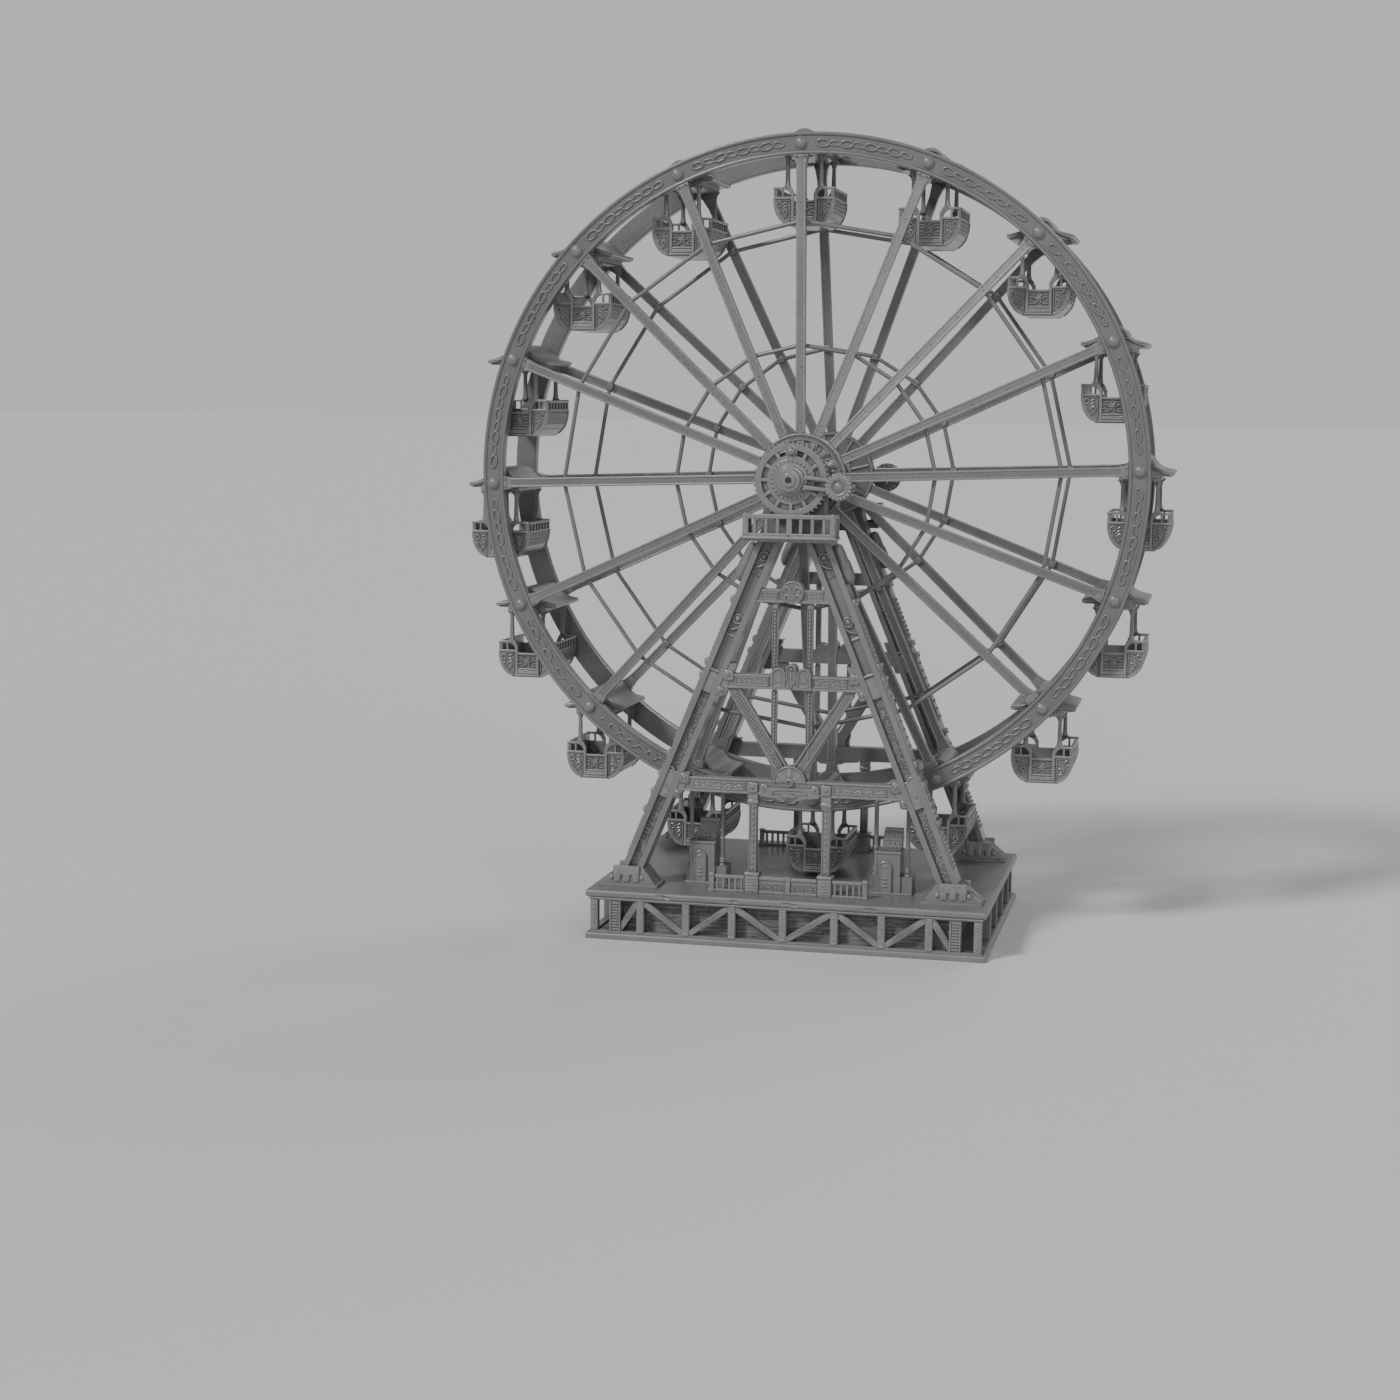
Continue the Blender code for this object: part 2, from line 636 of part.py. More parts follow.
def gear_outline(teeth, turn):
    """Trapezoid teeth on the pitch circle; turn is the direction of one tooth's middle."""
    pitch_r = MODULE * teeth / 2.0
    tip_r = pitch_r + ADDENDUM * MODULE
    root_r = pitch_r - DEDENDUM * MODULE
    step = 2.0 * math.pi / teeth
    points = []
    for index in range(teeth):
        middle = turn + step * index
        for radius, offset in ((root_r, -ROOT_SHARE / 2.0), (tip_r, -TIP_SHARE / 2.0),
                               (tip_r, TIP_SHARE / 2.0), (root_r, ROOT_SHARE / 2.0)):
            angle = middle + step * offset
            points.append((radius * math.cos(angle), radius * math.sin(angle)))
    return points


def make_gears(gear_material, pinion_material):
    """Drive gears fixed to the axle, each in mesh with a pinion; origins on the turning axes."""
    px, pz = pinion_centre()
    axle_hole = drum_y(AXLE_R + SEAT_GAP, GEAR_Y[0] - 0.1, GEAR_Y[1] + 0.1, AXLE_SIDES)
    gear = cut("front_drive_gear", prism_y(gear_outline(GEAR_TEETH, PINION_ANGLE), *GEAR_Y), [axle_hole])
    gap_turn = PINION_ANGLE + math.pi + math.pi / PINION_TEETH
    pin_hole = drum_y(bore_radius(PINION_PIN_R, PINION_PIN_SIDES), GEAR_Y[0] - 0.1, GEAR_Y[1] + 0.1,
                      PINION_PIN_SIDES)
    pinion = cut("front_pinion", prism_y(gear_outline(PINION_TEETH, gap_turn), *GEAR_Y), [pin_hole])
    gear.location = (0.0, 0.0, HUB_Z)
    pinion.location = (px, 0.0, pz)
    rear_gear = mirrored(gear, "rear_drive_gear", (0, 1, 0))
    rear_pinion = mirrored(pinion, "rear_pinion", (0, 1, 0))
    finish([gear, rear_gear], gear_material)
    finish([pinion, rear_pinion], pinion_material)


def gear_arm(name):
    """Two-bar arm that ties the axle's outboard boss to the end of the pinion's pin."""
    px, pz = pinion_centre()
    along = Vector((math.cos(PINION_ANGLE), math.sin(PINION_ANGLE)))
    aside = Vector((-along.y, along.x)) * ARM_SPREAD
    hub = Vector((0.0, HUB_Z))
    pieces = [drum_y(ARM_BOSS_R, ARM_Y[0], ARM_Y[1], AXLE_SIDES, centre=(0.0, HUB_Z)),
              drum_y(ARM_EYE_R, ARM_Y[0] + WELD, ARM_Y[1] - WELD, 16, centre=(px, pz))]
    reach = math.hypot(px, pz - HUB_Z) - 2.0 * WELD
    for sign in (1.0, -1.0):
        start = hub + along * ARM_START_R + aside * sign
        end = hub + along * reach + aside * sign * ARM_TAPER
        pieces.append(brace_between(tuple(start), tuple(end), ARM_BAR, ARM_Y[0] + 3.0 * WELD, ARM_Y[1] - 2.0 * WELD))
    solid = fuse("arm", pieces)
    holes = [drum_y(bore_radius(AXLE_R, AXLE_SIDES), ARM_Y[0] - 0.1, ARM_Y[1] + 0.1, AXLE_SIDES,
                    turn=math.pi / AXLE_SIDES, centre=(0.0, HUB_Z)),
             drum_y(PINION_PIN_R + SEAT_GAP, ARM_Y[0] - 0.1, ARM_Y[1] + 0.1, PINION_PIN_SIDES, PIN_TURN, (px, pz))]
    return cut(name, solid, holes)


def make_arms(arm_material, motor_material):
    front = gear_arm("front_gear_arm")
    rear = mirrored(front, "rear_gear_arm", (0, 1, 0))
    centre = pinion_centre()
    start = -ARM_Y[0] + PIN_PROUD + SEAT_GAP
    end = start + MOTOR_LENGTH
    shoulder = end - MOTOR_NOSE_LENGTH
    drum = drum_y(MOTOR_R, start, shoulder, MOTOR_SIDES, centre=centre)
    nose = loft([(x, shoulder - WELD, z) for x, z in circle(MOTOR_R, MOTOR_SIDES, 0.0, centre)],
                [(x, end, z) for x, z in circle(MOTOR_NOSE_R, MOTOR_SIDES, 0.0, centre)])
    drive = fuse("drive_motor", [drum, nose])
    finish([front, rear], arm_material)
    finish([drive], motor_material, smooth=True)


def spin_ring(profile, segments, turn, name):
    """Ring about Y from a closed profile of (radius, y) points."""
    count = len(profile)
    points = []
    for index in range(segments):
        angle = turn + 2.0 * math.pi * index / segments
        points += [(radius * math.cos(angle), y, radius * math.sin(angle)) for radius, y in profile]
    faces = []
    for index in range(segments):
        base = index * count
        following = ((index + 1) % segments) * count
        for corner in range(count):
            after = (corner + 1) % count
            faces.append((base + corner, base + after, following + after, following + corner))
    return mesh_from(name, points, faces)


def gondola_angle(index):
    """Direction of a pivot from the hub, from the top one on, clockwise in front view."""
    return math.pi / 2.0 + PHASE - 2.0 * math.pi * index / GONDOLAS


def make_rims(material):
    """Channel rims, with a facet centred on each spoke and a hole there for the gondola's rod."""
    y0, y1 = RIM_Y
    web = y0 + RIM_RECESS
    profile = [(RIM_IN_R, y0), (RIM_IN_R, y1), (RIM_OUT_R, y1), (RIM_OUT_R, y0),
               (RIM_OUT_R - RIM_FLANGE, y0), (RIM_OUT_R - RIM_FLANGE, web),
               (RIM_IN_R + RIM_FLANGE, web), (RIM_IN_R + RIM_FLANGE, y0)]
    facet = 2.0 * math.pi / RIM_SEGMENTS
    ring = spin_ring(profile, RIM_SEGMENTS, gondola_angle(0) + facet / 2.0, "ring")
    holes = []
    for index in range(GONDOLAS):
        angle = gondola_angle(index)
        centre = (PIVOT_R * math.cos(angle), PIVOT_R * math.sin(angle))
        holes.append(drum_y(bore_radius(ROD_R, ROD_SIDES), y0 - 0.1, y1 + 0.1, ROD_SIDES,
                            turn=math.pi / ROD_SIDES, centre=centre))
    front = cut("front_rim", ring, holes)
    hold_at([front], (0.0, 0.0, HUB_Z))
    rear = mirrored(front, "rear_rim", (0, 1, 0))
    finish([front, rear], material)


def spoke(angle, plate_y):
    """Box bar to the rim's inner face, with a foot plate there and a tongue into its own hub plate."""
    outward = Vector((math.cos(angle), 0.0, math.sin(angle)))
    across = Vector((-math.sin(angle), 0.0, math.cos(angle)))
    rim_face = RIM_IN_R * math.cos(math.pi / RIM_SEGMENTS) - SEAT_GAP
    rim_y = sum(RIM_Y) / 2.0

    def section(radius, y, width, depth):
        centre = outward * radius + Vector((0.0, y, 0.0))
        return [tuple(centre + across * (width / 2.0 * a) + Vector((0.0, depth / 2.0 * b, 0.0)))
                for a, b in ((-1, -1), (1, -1), (1, 1), (-1, 1))]

    foot_w, foot_d, foot_t = SPOKE_FOOT
    bar = loft(section(SPOKE_INNER_R, SPOKE_HUB_Y, SPOKE_WIDTH, SPOKE_HUB_DEPTH),
               section(rim_face - foot_t * 0.5, rim_y, SPOKE_WIDTH, SPOKE_DEPTH))
    foot = loft(section(rim_face - foot_t, rim_y, foot_w * SPOKE_FOOT_TAPER, foot_d),
                section(rim_face, rim_y, foot_w, foot_d))
    tongue_y = sum(plate_y) / 2.0
    tongue_depth = plate_y[1] - plate_y[0] - 0.002
    tongue_w = SPOKE_WIDTH - TONGUE_MARGIN
    tongue = loft(section(SPOKE_TONGUE[0], tongue_y, tongue_w, tongue_depth),
                  section(SPOKE_TONGUE[1], tongue_y, tongue_w, tongue_depth))
    return [bar, foot, tongue]


def make_spokes(material):
    """Two sets of alternate spokes on each side, each set on its own hub plate."""
    sets = (("outer", OUTER_PLATE_Y, 0), ("inner", INNER_PLATE_Y, 1))
    for label, plate_y, first in sets:
        pieces = [drum_y(FLANGE_R, plate_y[0], plate_y[1], FLANGE_SIDES)]
        for index in range(first, GONDOLAS, 2):
            pieces += spoke(gondola_angle(index), plate_y)
        solid = fuse("spokes", pieces)
        hole = drum_y(AXLE_R + SEAT_GAP, plate_y[0] - 0.2, plate_y[1] + 0.2, AXLE_SIDES)
        front = cut("front_spokes_" + label, solid, [hole])
        hold_at([front], (0.0, 0.0, HUB_Z))
        rear = mirrored(front, "rear_spokes_" + label, (0, 1, 0))
        finish([front, rear], material)


def spoke_back_y(radius):
    """Place along Y of the spokes' back faces at a radius from the hub."""
    rim_face = RIM_IN_R * math.cos(math.pi / RIM_SEGMENTS) - SEAT_GAP
    end = rim_face - SPOKE_FOOT[2] * 0.5
    share = (radius - SPOKE_INNER_R) / (end - SPOKE_INNER_R)
    start_back = SPOKE_HUB_Y + SPOKE_HUB_DEPTH / 2.0
    end_back = sum(RIM_Y) / 2.0 + SPOKE_DEPTH / 2.0
    return start_back + share * (end_back - start_back)


def make_brace_rings(material):
    """Round rods from spoke to spoke, joined in rings that rest on the spokes' back faces."""
    for label, radius in zip(("outer", "inner"), RING_RS):
        contact_r = radius + RING_ROD_R / 2.0
        rod_y = spoke_back_y(contact_r) + RING_ROD_R * math.sin(math.pi / 3.0) + SEAT_GAP
        profile = [(radius + RING_ROD_R * math.cos(math.pi / 3.0 * side),
                    rod_y + RING_ROD_R * math.sin(math.pi / 3.0 * side)) for side in range(RING_SIDES)]
        front = spin_ring(profile, GONDOLAS, gondola_angle(0), "front_brace_ring_" + label)
        hold_at([front], (0.0, 0.0, HUB_Z))
        rear = mirrored(front, "rear_brace_ring_" + label, (0, 1, 0))
        finish([front, rear], material, smooth=True)


def make_axle(material):
    barrel_y = -INNER_PLATE_Y[1] - SEAT_GAP
    axle = drum_y(AXLE_R, -AXLE_END_Y, AXLE_END_Y, AXLE_SIDES)
    barrel = drum_y(BARREL_R, -barrel_y, barrel_y, AXLE_SIDES)
    whole = fuse("hub_axle", [barrel, axle])
    hold_at([whole], (0.0, 0.0, HUB_Z))
    finish([whole], material, smooth=True)


def both_sides(right_half):
    """Closed outline from its right half, given from bottom to top."""
    return list(right_half) + [(-x, z) for x, z in reversed(right_half) if x > 0.0]


def gondola_mesh():
    floor = -FLOOR_BELOW_PIVOT
    outer = [(x, floor + z) for x, z in TUB_OUTLINE]
    inner_x = TUB_OUTLINE[-1][0] - TUB_WALL
    top = TUB_OUTLINE[-1][1]
    inner = [(inner_x, floor + top), (inner_x, floor + SEAT_HEIGHT), (SEAT_EDGE_X, floor + SEAT_HEIGHT),
             (SEAT_EDGE_X, floor + FLOOR_THICK)]
    right = outer + inner
    tub = prism_y(right + [(-x, z) for x, z in reversed(right)], -TUB_HALF_LENGTH, TUB_HALF_LENGTH)
    panel_line = both_sides([(x, floor + z) for x, z in PANEL_OUTLINE])
    pieces = [tub]
    canopy_low = floor + CANOPY_UNDERSIDE
    for sign in (1.0, -1.0):
        y_face = sign * (TUB_HALF_LENGTH + 0.02)
        y_back = sign * (TUB_HALF_LENGTH + 0.02 - PANEL_THICK)
        pieces.append(prism_y(panel_line, min(y_face, y_back), max(y_face, y_back)))
        y_post = sorted((y_face - sign * 0.005, y_face - sign * (POST_SIZE - 0.01)))
        for side in (1.0, -1.0):
            x = side * POST_X
            pieces.append(block((x - POST_SIZE / 2.0, x + POST_SIZE / 2.0), y_post,
                                (floor + POST_FOOT_Z, canopy_low + 0.03)))
    roof = both_sides(list(reversed(CANOPY_PROFILE)))
    pieces.append(prism_y(roof, -CANOPY_HALF_LENGTH, CANOPY_HALF_LENGTH))
    pieces.append(block((-FRAME_HALF_WIDTH, FRAME_HALF_WIDTH), (-FRAME_HALF_LENGTH, FRAME_HALF_LENGTH),
                        (canopy_low, CANOPY_PROFILE[-1][1] + 0.02)))
    near, far = CAP_Y
    pieces.append(drum_y(ROD_R, -near - ROD_GRIP, near + ROD_GRIP, ROD_SIDES))
    for sign in (1.0, -1.0):
        pieces.append(loft([(x, sign * near, z) for x, z in circle(CAP_R, CAP_SIDES)],
                           [(x, sign * far, z) for x, z in circle(CAP_R * CAP_TAPER, CAP_SIDES)]))
    whole = fuse("gondola", pieces)
    mesh = whole.data
    bpy.data.objects.remove(whole, do_unlink=True)
    return mesh


def make_gondolas(material):
    mesh = gondola_mesh()
    gondolas = []
    for index in range(GONDOLAS):
        angle = gondola_angle(index)
        item = add_object("gondola_%02d" % (index + 1), mesh)
        item.location = (PIVOT_R * math.cos(angle), 0.0, HUB_Z + PIVOT_R * math.sin(angle))
        gondolas.append(item)
    finish(gondolas[:1], material)


def make_cabinets(material):
    """Stepped housings on the deck with an arched door, a sloped ridge and two poles each."""
    base_z = DECK_TOP + SEAT_GAP
    low, mid, high = [base_z + height for height in CABINET_HEIGHTS]
    cabinets = []

    def ridge(inset, x0, x1, front_y, z):
        left, right, near, far = inset
        return [(x0 + left, front_y + near, z), (x1 - right, front_y + near, z), (x1 - right, front_y + far, z),
                (x0 + left, front_y + far, z)]

    for name, (centre, front_y) in CABINETS.items():
        x0 = centre - CABINET_WIDTH / 2.0
        x1 = centre + CABINET_WIDTH / 2.0
        housing_y = (front_y + HOUSING_Y[0], front_y + HOUSING_Y[1])
        door = [(x0 + DOOR_X - DOOR_HALF_WIDTH, base_z),
                *arch_points((x0 + DOOR_X, DOOR_HALF_WIDTH, base_z + DOOR_SPRING), 8),
                (x0 + DOOR_X + DOOR_HALF_WIDTH, base_z)]
        pieces = [block((x0, x1), (front_y, front_y + CABINET_DEPTH), (base_z, low)),
                  block((x0 + HOUSING_INSET[0], x1 - HOUSING_INSET[1]), housing_y, (base_z, mid)),
                  loft(ridge(RIDGE_FOOT, x0, x1, front_y, mid - 0.1), ridge(RIDGE_TOP, x0, x1, front_y, high)),
                  prism_y(door, housing_y[0] - DOOR_PROUD, housing_y[0] + DOOR_PROUD)]
        for x in (x0 + POLE_INSET[0], x1 - POLE_INSET[1]):
            pole = circle(POLE_R, 8, 0.0, (x, front_y + POLE_SETBACK))
            pieces.append(loft([(px, py, low - 0.05) for px, py in pole],
                               [(px, py, POLE_TOP_Z) for px, py in pole]))
        cabinets.append(fuse(name, pieces))
    finish(cabinets, material)


def main():
    clear_scene()
    structure = make_material("structure_paint", (0.42, 0.42, 0.42), 0.55, 0.0)
    timber = make_material("plank_paint", (0.30, 0.30, 0.30), 0.75, 0.0)
    wheel_paint = make_material("wheel_paint", (0.45, 0.45, 0.45), 0.50, 0.0)
    cabin_paint = make_material("cabin_paint", (0.48, 0.48, 0.48), 0.50, 0.0)
    machinery = make_material("machinery_metal", (0.34, 0.34, 0.34), 0.42, 0.35)
    make_slabs(structure)
    make_base_frames(structure)
    make_base_walls(timber)
    make_legs(structure)
    make_bracing(structure)
    make_railings(structure)
    make_heads(structure)
    make_balconies(structure)
    make_gears(machinery, machinery)
    make_arms(machinery, machinery)
    make_rims(wheel_paint)
    make_spokes(wheel_paint)
    make_brace_rings(wheel_paint)
    make_axle(machinery)
    make_gondolas(cabin_paint)
    make_cabinets(structure)


main()
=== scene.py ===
import json
import math
import random

import bmesh
import bpy
from mathutils import Matrix, Vector


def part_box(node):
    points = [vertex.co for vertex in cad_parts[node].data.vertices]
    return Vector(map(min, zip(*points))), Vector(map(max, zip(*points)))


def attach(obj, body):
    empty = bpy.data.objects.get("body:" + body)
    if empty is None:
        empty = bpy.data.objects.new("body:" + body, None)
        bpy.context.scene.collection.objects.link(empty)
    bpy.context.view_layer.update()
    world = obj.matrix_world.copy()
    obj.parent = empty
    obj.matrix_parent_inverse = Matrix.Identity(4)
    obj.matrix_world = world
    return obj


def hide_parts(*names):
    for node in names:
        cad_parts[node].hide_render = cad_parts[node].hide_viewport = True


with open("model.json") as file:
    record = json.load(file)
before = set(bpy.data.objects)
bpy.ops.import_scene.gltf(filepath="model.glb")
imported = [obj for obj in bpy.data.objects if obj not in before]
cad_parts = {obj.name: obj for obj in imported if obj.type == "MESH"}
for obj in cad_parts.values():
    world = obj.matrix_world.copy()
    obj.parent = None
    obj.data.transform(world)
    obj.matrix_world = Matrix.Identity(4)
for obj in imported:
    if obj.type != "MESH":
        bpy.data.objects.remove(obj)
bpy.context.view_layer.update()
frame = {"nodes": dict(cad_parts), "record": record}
rng = random.Random(7)

SIDES = (1.0, -1.0)
HOME = Matrix.Identity(4)
MIRROR_X = Matrix.Scale(-1.0, 4, Vector((1.0, 0.0, 0.0)))
MIRROR_Y = Matrix.Scale(-1.0, 4, Vector((0.0, 1.0, 0.0)))
HALF_TURN = Matrix.Rotation(math.pi, 4, "Z")
SHARP_ANGLE = math.radians(50.0)

# Base
BASE_WIDTH = 10.50
BASE_DEPTH = 8.19
SLAB_CORNER = 0.05
PLINTH_TOP = 0.174
DECK_UNDERSIDE = 1.115
DECK_TOP = 1.304
FRAME_FACE_Y = -4.02
FRAME_SIDE_X = 5.175
POST_XS = (0.0, 1.34, 2.56, 3.78)
WIDE_POST_X = 4.45
CORNER_POST_X = 5.02
SIDE_POST_YS = (0.78, 2.33)
WALL_X = 4.38
WALL_Y = 3.60
PLANK_ROWS = 9
# chips in the deck's front edge: x, z, width and depth
DECK_CHIPS = ((-3.20, 1.215, 0.13, 0.036), (-3.06, 1.180, 0.09, 0.030), (-1.28, 1.195, 0.09, 0.036),
              (0.12, 1.210, 0.13, 0.036), (0.30, 1.180, 0.09, 0.030), (2.24, 1.200, 0.11, 0.034),
              (2.38, 1.170, 0.07, 0.026))
CHIP_HALF_HEIGHT = 0.034
CHIP_STEPS = 400

# Towers
LEG_FRONT_Y = -3.38
LEG_MID_Y = -3.06
LEG_WEB_Y = -3.22
BEAM_FRONT_Y = -3.33
TOP_BEAM_Z = (8.90, 9.24)
MID_BEAM_Z = (6.66, 7.03)
LOW_BEAM_Z = (3.91, 4.30)
MEDALLION_Z = 9.17
FAN_Z = 4.26
STRUT_X = 0.455
COLUMN_X = 0.96
COLUMN_Y = -3.20
RAIL_Y = -3.32
RAIL_END_X = 2.02
RAIL_TOP = 1.784

# Hub and wheel
HUB_Z = 12.05
HUB = (0.0, HUB_Z)
GEAR_FACE_Y = -3.84
GEAR_DEPTH = 0.18
GEAR_BACK_Y = GEAR_FACE_Y + GEAR_DEPTH
GEAR_TEETH = 46
GEAR_WINDOWS = 12
INNER_TEETH = 26
PINION_TEETH = 16
CROWN_TEETH = 19
MODULE = 0.041
PINION_ANGLE = math.radians(-6.3)
PINION = (1.26333, 11.91053)
ARM_FACE_Y = -4.06
GONDOLAS = 16
PHASE = math.radians(2.06)
PIVOT_R = 8.56
RIM_OUT_R = 8.84
RIM_IN_R = 8.28
RIM_FACE_Y = -1.655
RIM_BACK_Y = -1.335
RIM_WEB_Y = -1.615
CHAIN_LINKS = 8
RING_RS = {"outer": 6.60, "inner": 3.42}

# Gondola: floor's height from its pivot, half length of the tub, plane of its ends' bars, and
# its side's curve in half widths and heights above the floor
FLOOR = -2.04
TUB_HALF = 1.00
TUB_END_Y = -1.02
TUB_CURVE = ((0.40, 0.0), (0.50, 0.055), (0.61, 0.15), (0.70, 0.27), (0.755, 0.41), (0.785, 0.56),
             (0.79, 0.70), (0.768, 0.725), (0.768, 0.95))

# width of the rounded edges on the nodes that keep their own shape
ROUNDED = (
    (0.014, ("base_front_frame", "base_rear_frame", "base_left_frame", "base_right_frame")),
    (0.022, ("front_left_leg", "front_right_leg", "rear_left_leg", "rear_right_leg")),
    (0.012, ("front_tower_bracing", "rear_tower_bracing")),
    (0.020, ("front_tower_head", "rear_tower_head", "left_cabinet", "right_cabinet")),
    (0.012, ("front_spokes_outer", "front_spokes_inner", "rear_spokes_outer", "rear_spokes_inner")),
)


def leg_in(z):
    return 0.36 + 0.4105 * (10.37 - z)


def leg_out(z):
    return 0.98 + 0.4045 * (10.37 - z)


# Measures

def around(middle, half):
    """Range centred on a value."""
    return middle - half, middle + half


def on_side(sign, near, far):
    """Range between two distances from zero, on the side that sign names."""
    return tuple(sorted((sign * near, sign * far)))


def cells(start, end, count):
    """Middles of equal cells between two values."""
    return [start + (end - start) * (index + 0.5) / count for index in range(count)]


def stops(start, end, count):
    """Equally spaced values from start to end."""
    return [start + (end - start) * index / (count - 1.0) for index in range(count)]


def turns(count, start=math.pi / 2.0):
    """Angles of equal steps round a full turn."""
    return [start + 2.0 * math.pi * index / count for index in range(count)]


GONDOLA_TURNS = [math.pi / 2.0 + PHASE - 2.0 * math.pi * index / GONDOLAS for index in range(GONDOLAS)]


def polar(radius, turn, centre=(0.0, 0.0)):
    return centre[0] + radius * math.cos(turn), centre[1] + radius * math.sin(turn)


def outward(turn, centre=HUB):
    """Frame whose Z runs outwards from a centre at an angle in the XZ plane."""
    return Matrix.Translation((centre[0], 0.0, centre[1])) @ Matrix.Rotation(math.pi / 2.0 - turn, 4, "Y")


def leg_frames(z):
    """Frames on the centre lines of the two front legs, with Z up along the leg."""
    lean = math.atan(0.4075)
    middle = (leg_in(z) + leg_out(z)) / 2.0
    right = Matrix.Translation((middle, 0.0, z)) @ Matrix.Rotation(-lean, 4, "Y")
    return right, MIRROR_X @ right


# Outlines

def arc(cx, cz, radius, start, end, steps):
    """Points of an arc in the XZ plane, angles in degrees."""
    return [polar(radius, math.radians(angle), (cx, cz)) for angle in stops(start, end, steps + 1)]


def inset(outline, distance):
    """Outline moved inwards by a distance, corner by corner."""
    count = len(outline)
    area = sum(outline[i - 1][0] * outline[i][1] - outline[i][0] * outline[i - 1][1] for i in range(count))
    sign = 1.0 if area > 0.0 else -1.0
    result = []
    for index in range(count):
        here = Vector(outline[index])
        before = Vector(outline[index - 1])
        after = Vector(outline[(index + 1) % count])
        first = (here - before).normalized()
        second = (after - here).normalized()
        n1 = Vector((-first.y, first.x)) * sign
        n2 = Vector((-second.y, second.x)) * sign
        bisector = n1 + n2
        if bisector.length < 1e-6:
            bisector = n1
        bisector = bisector.normalized()
        scale = min(1.0 / max(bisector.dot(n1), 0.35), 2.5)
        result.append(tuple(here + bisector * distance * scale))
    return result


def strip_outline(path, width):
    """Closed outline of a flat strip of even width along an open (x, z) path."""
    left = []
    right = []
    for index, point in enumerate(path):
        before = Vector(path[max(index - 1, 0)])
        after = Vector(path[min(index + 1, len(path) - 1)])
        along = (after - before).normalized()
        side = Vector((-along.y, along.x)) * (width / 2.0)
        left.append(tuple(Vector(point) + side))
        right.append(tuple(Vector(point) - side))
    return left + right[::-1]


class Form:
    """Closed shapes gathered into one mesh, each put through the frame that place holds."""

    def __init__(self):
        self.points = []
        self.faces = []
        self.place = HOME

    def loft(self, rings, closed=False):
        """Skin over rings of points, with flat caps unless it closes on itself."""
        start = len(self.points)
        count = len(rings[0])
        self.points += [self.place @ Vector(point) for ring in rings for point in ring]
        for level in range(len(rings) - (0 if closed else 1)):
            low = start + level * count
            high = start + (level + 1) % len(rings) * count
            self.faces += [(low + side, low + (side + 1) % count, high + (side + 1) % count, high + side)
                           for side in range(count)]
        if not closed:
            last = start + (len(rings) - 1) * count
            self.faces += [tuple(range(start, start + count)), tuple(range(last, last + count))]

    def block(self, x, y, z, bevel=0.012):
        """Box with chamfered edges."""
        b = min(bevel, *(0.45 * (high - low) for low, high in (x, y, z)))

        def ring(level, step):
            x0, x1, y0, y1 = x[0] + step, x[1] - step, y[0] + step, y[1] - step
            return [(x0 + b, y0, level), (x1 - b, y0, level), (x1, y0 + b, level), (x1, y1 - b, level),
                    (x1 - b, y1, level), (x0 + b, y1, level), (x0, y1 - b, level), (x0, y0 + b, level)]

        self.loft([ring(z[0], 0.5 * b), ring(z[0] + b, 0.0), ring(z[1] - b, 0.0), ring(z[1], 0.5 * b)])

    def pillar(self, x, y, half, z, bevel=0.012):
        """Upright block on a square."""
        self.block(around(x, half), around(y, half), z, bevel)

    def prism(self, outline, y_back, y_front, bevel=0.012):
        """Outline of (x, z) points carried along Y, with a chamfer round its front face."""
        shift = bevel if y_back > y_front else -bevel
        self.loft([[(x, y_back, z) for x, z in outline], [(x, y_front + shift, z) for x, z in outline],
                   [(x, y_front, z) for x, z in inset(outline, bevel)]])

    def tube(self, path, radius, sides=8, closed=False, flat=1.0):
        """Round bar along a path; radius is one number or one for each point, flat squeezes it along Y."""
        path = [Vector(point) for point in path]
        count = len(path)
        radii = radius if hasattr(radius, "__len__") else [radius] * count
        rings = []
        normal = None
        for index, point in enumerate(path):
            before = path[index - 1] if closed or index > 0 else point
            after = path[(index + 1) % count] if closed or index < count - 1 else point
            along = (after - before).normalized()
            if normal is None:
                normal = Vector((0.0, 1.0, 0.0)) if abs(along.y) < 0.9 else Vector((1.0, 0.0, 0.0))
            normal = (normal - along * normal.dot(along)).normalized()
            side = along.cross(normal)
            high = radii[index] * flat
            wide = radii[index]
            rings.append([point + normal * (high * math.cos(turn)) + side * (wide * math.sin(turn))
                          for turn in turns(sides, 0.0)])
        self.loft(rings, closed)

    def trace(self, points, y, radius, sides=6, closed=False, flat=1.0):
        """Round bar along (x, z) points in the plane at y."""
        self.tube([(x, y, z) for x, z in points], radius, sides, closed, flat)

    def lathe(self, profile, segments, centre=(0.0, 0.0), closed=False, y=0.0):
        """Turned shape about a line along Y, from (radius, distance behind the plane at y) points."""
        rings = []
        for radius, step in profile:
            circle = [polar(radius, turn, centre) for turn in turns(segments, 0.0)]
            rings.append([(x, y + step, z) for x, z in circle])
        self.loft(rings, closed)

    def dome(self, x, z, y, radius, height, segments=16, toward=-1.0, lip=0.0):
        """Dome standing on the plane at y, towards -Y or +Y, with or without a lip under it."""
        profile = [(radius, y)]
        base = radius
        if lip:
            base = 0.86 * radius
            profile += [(radius, y + toward * lip), (base, y + toward * lip)]
        for step in range(1, 6):
            turn = 0.5 * math.pi * step / 5.5
            profile.append((base * math.cos(turn), y + toward * (lip + (height - lip) * math.sin(turn))))
        self.lathe(profile, segments, (x, z))

    def bead(self, x, y, z, radius, squash=1.0):
        """Small round stud."""
        rings = []
        for level in (-0.8, -0.35, 0.35, 0.8):
            share = radius * math.sqrt(1.0 - level * level)
            rings.append([(x + share * math.cos(turn), y + squash * share * math.sin(turn),
                           z + radius * level) for turn in turns(6, 0.0)])
        self.loft(rings)


# Finishes

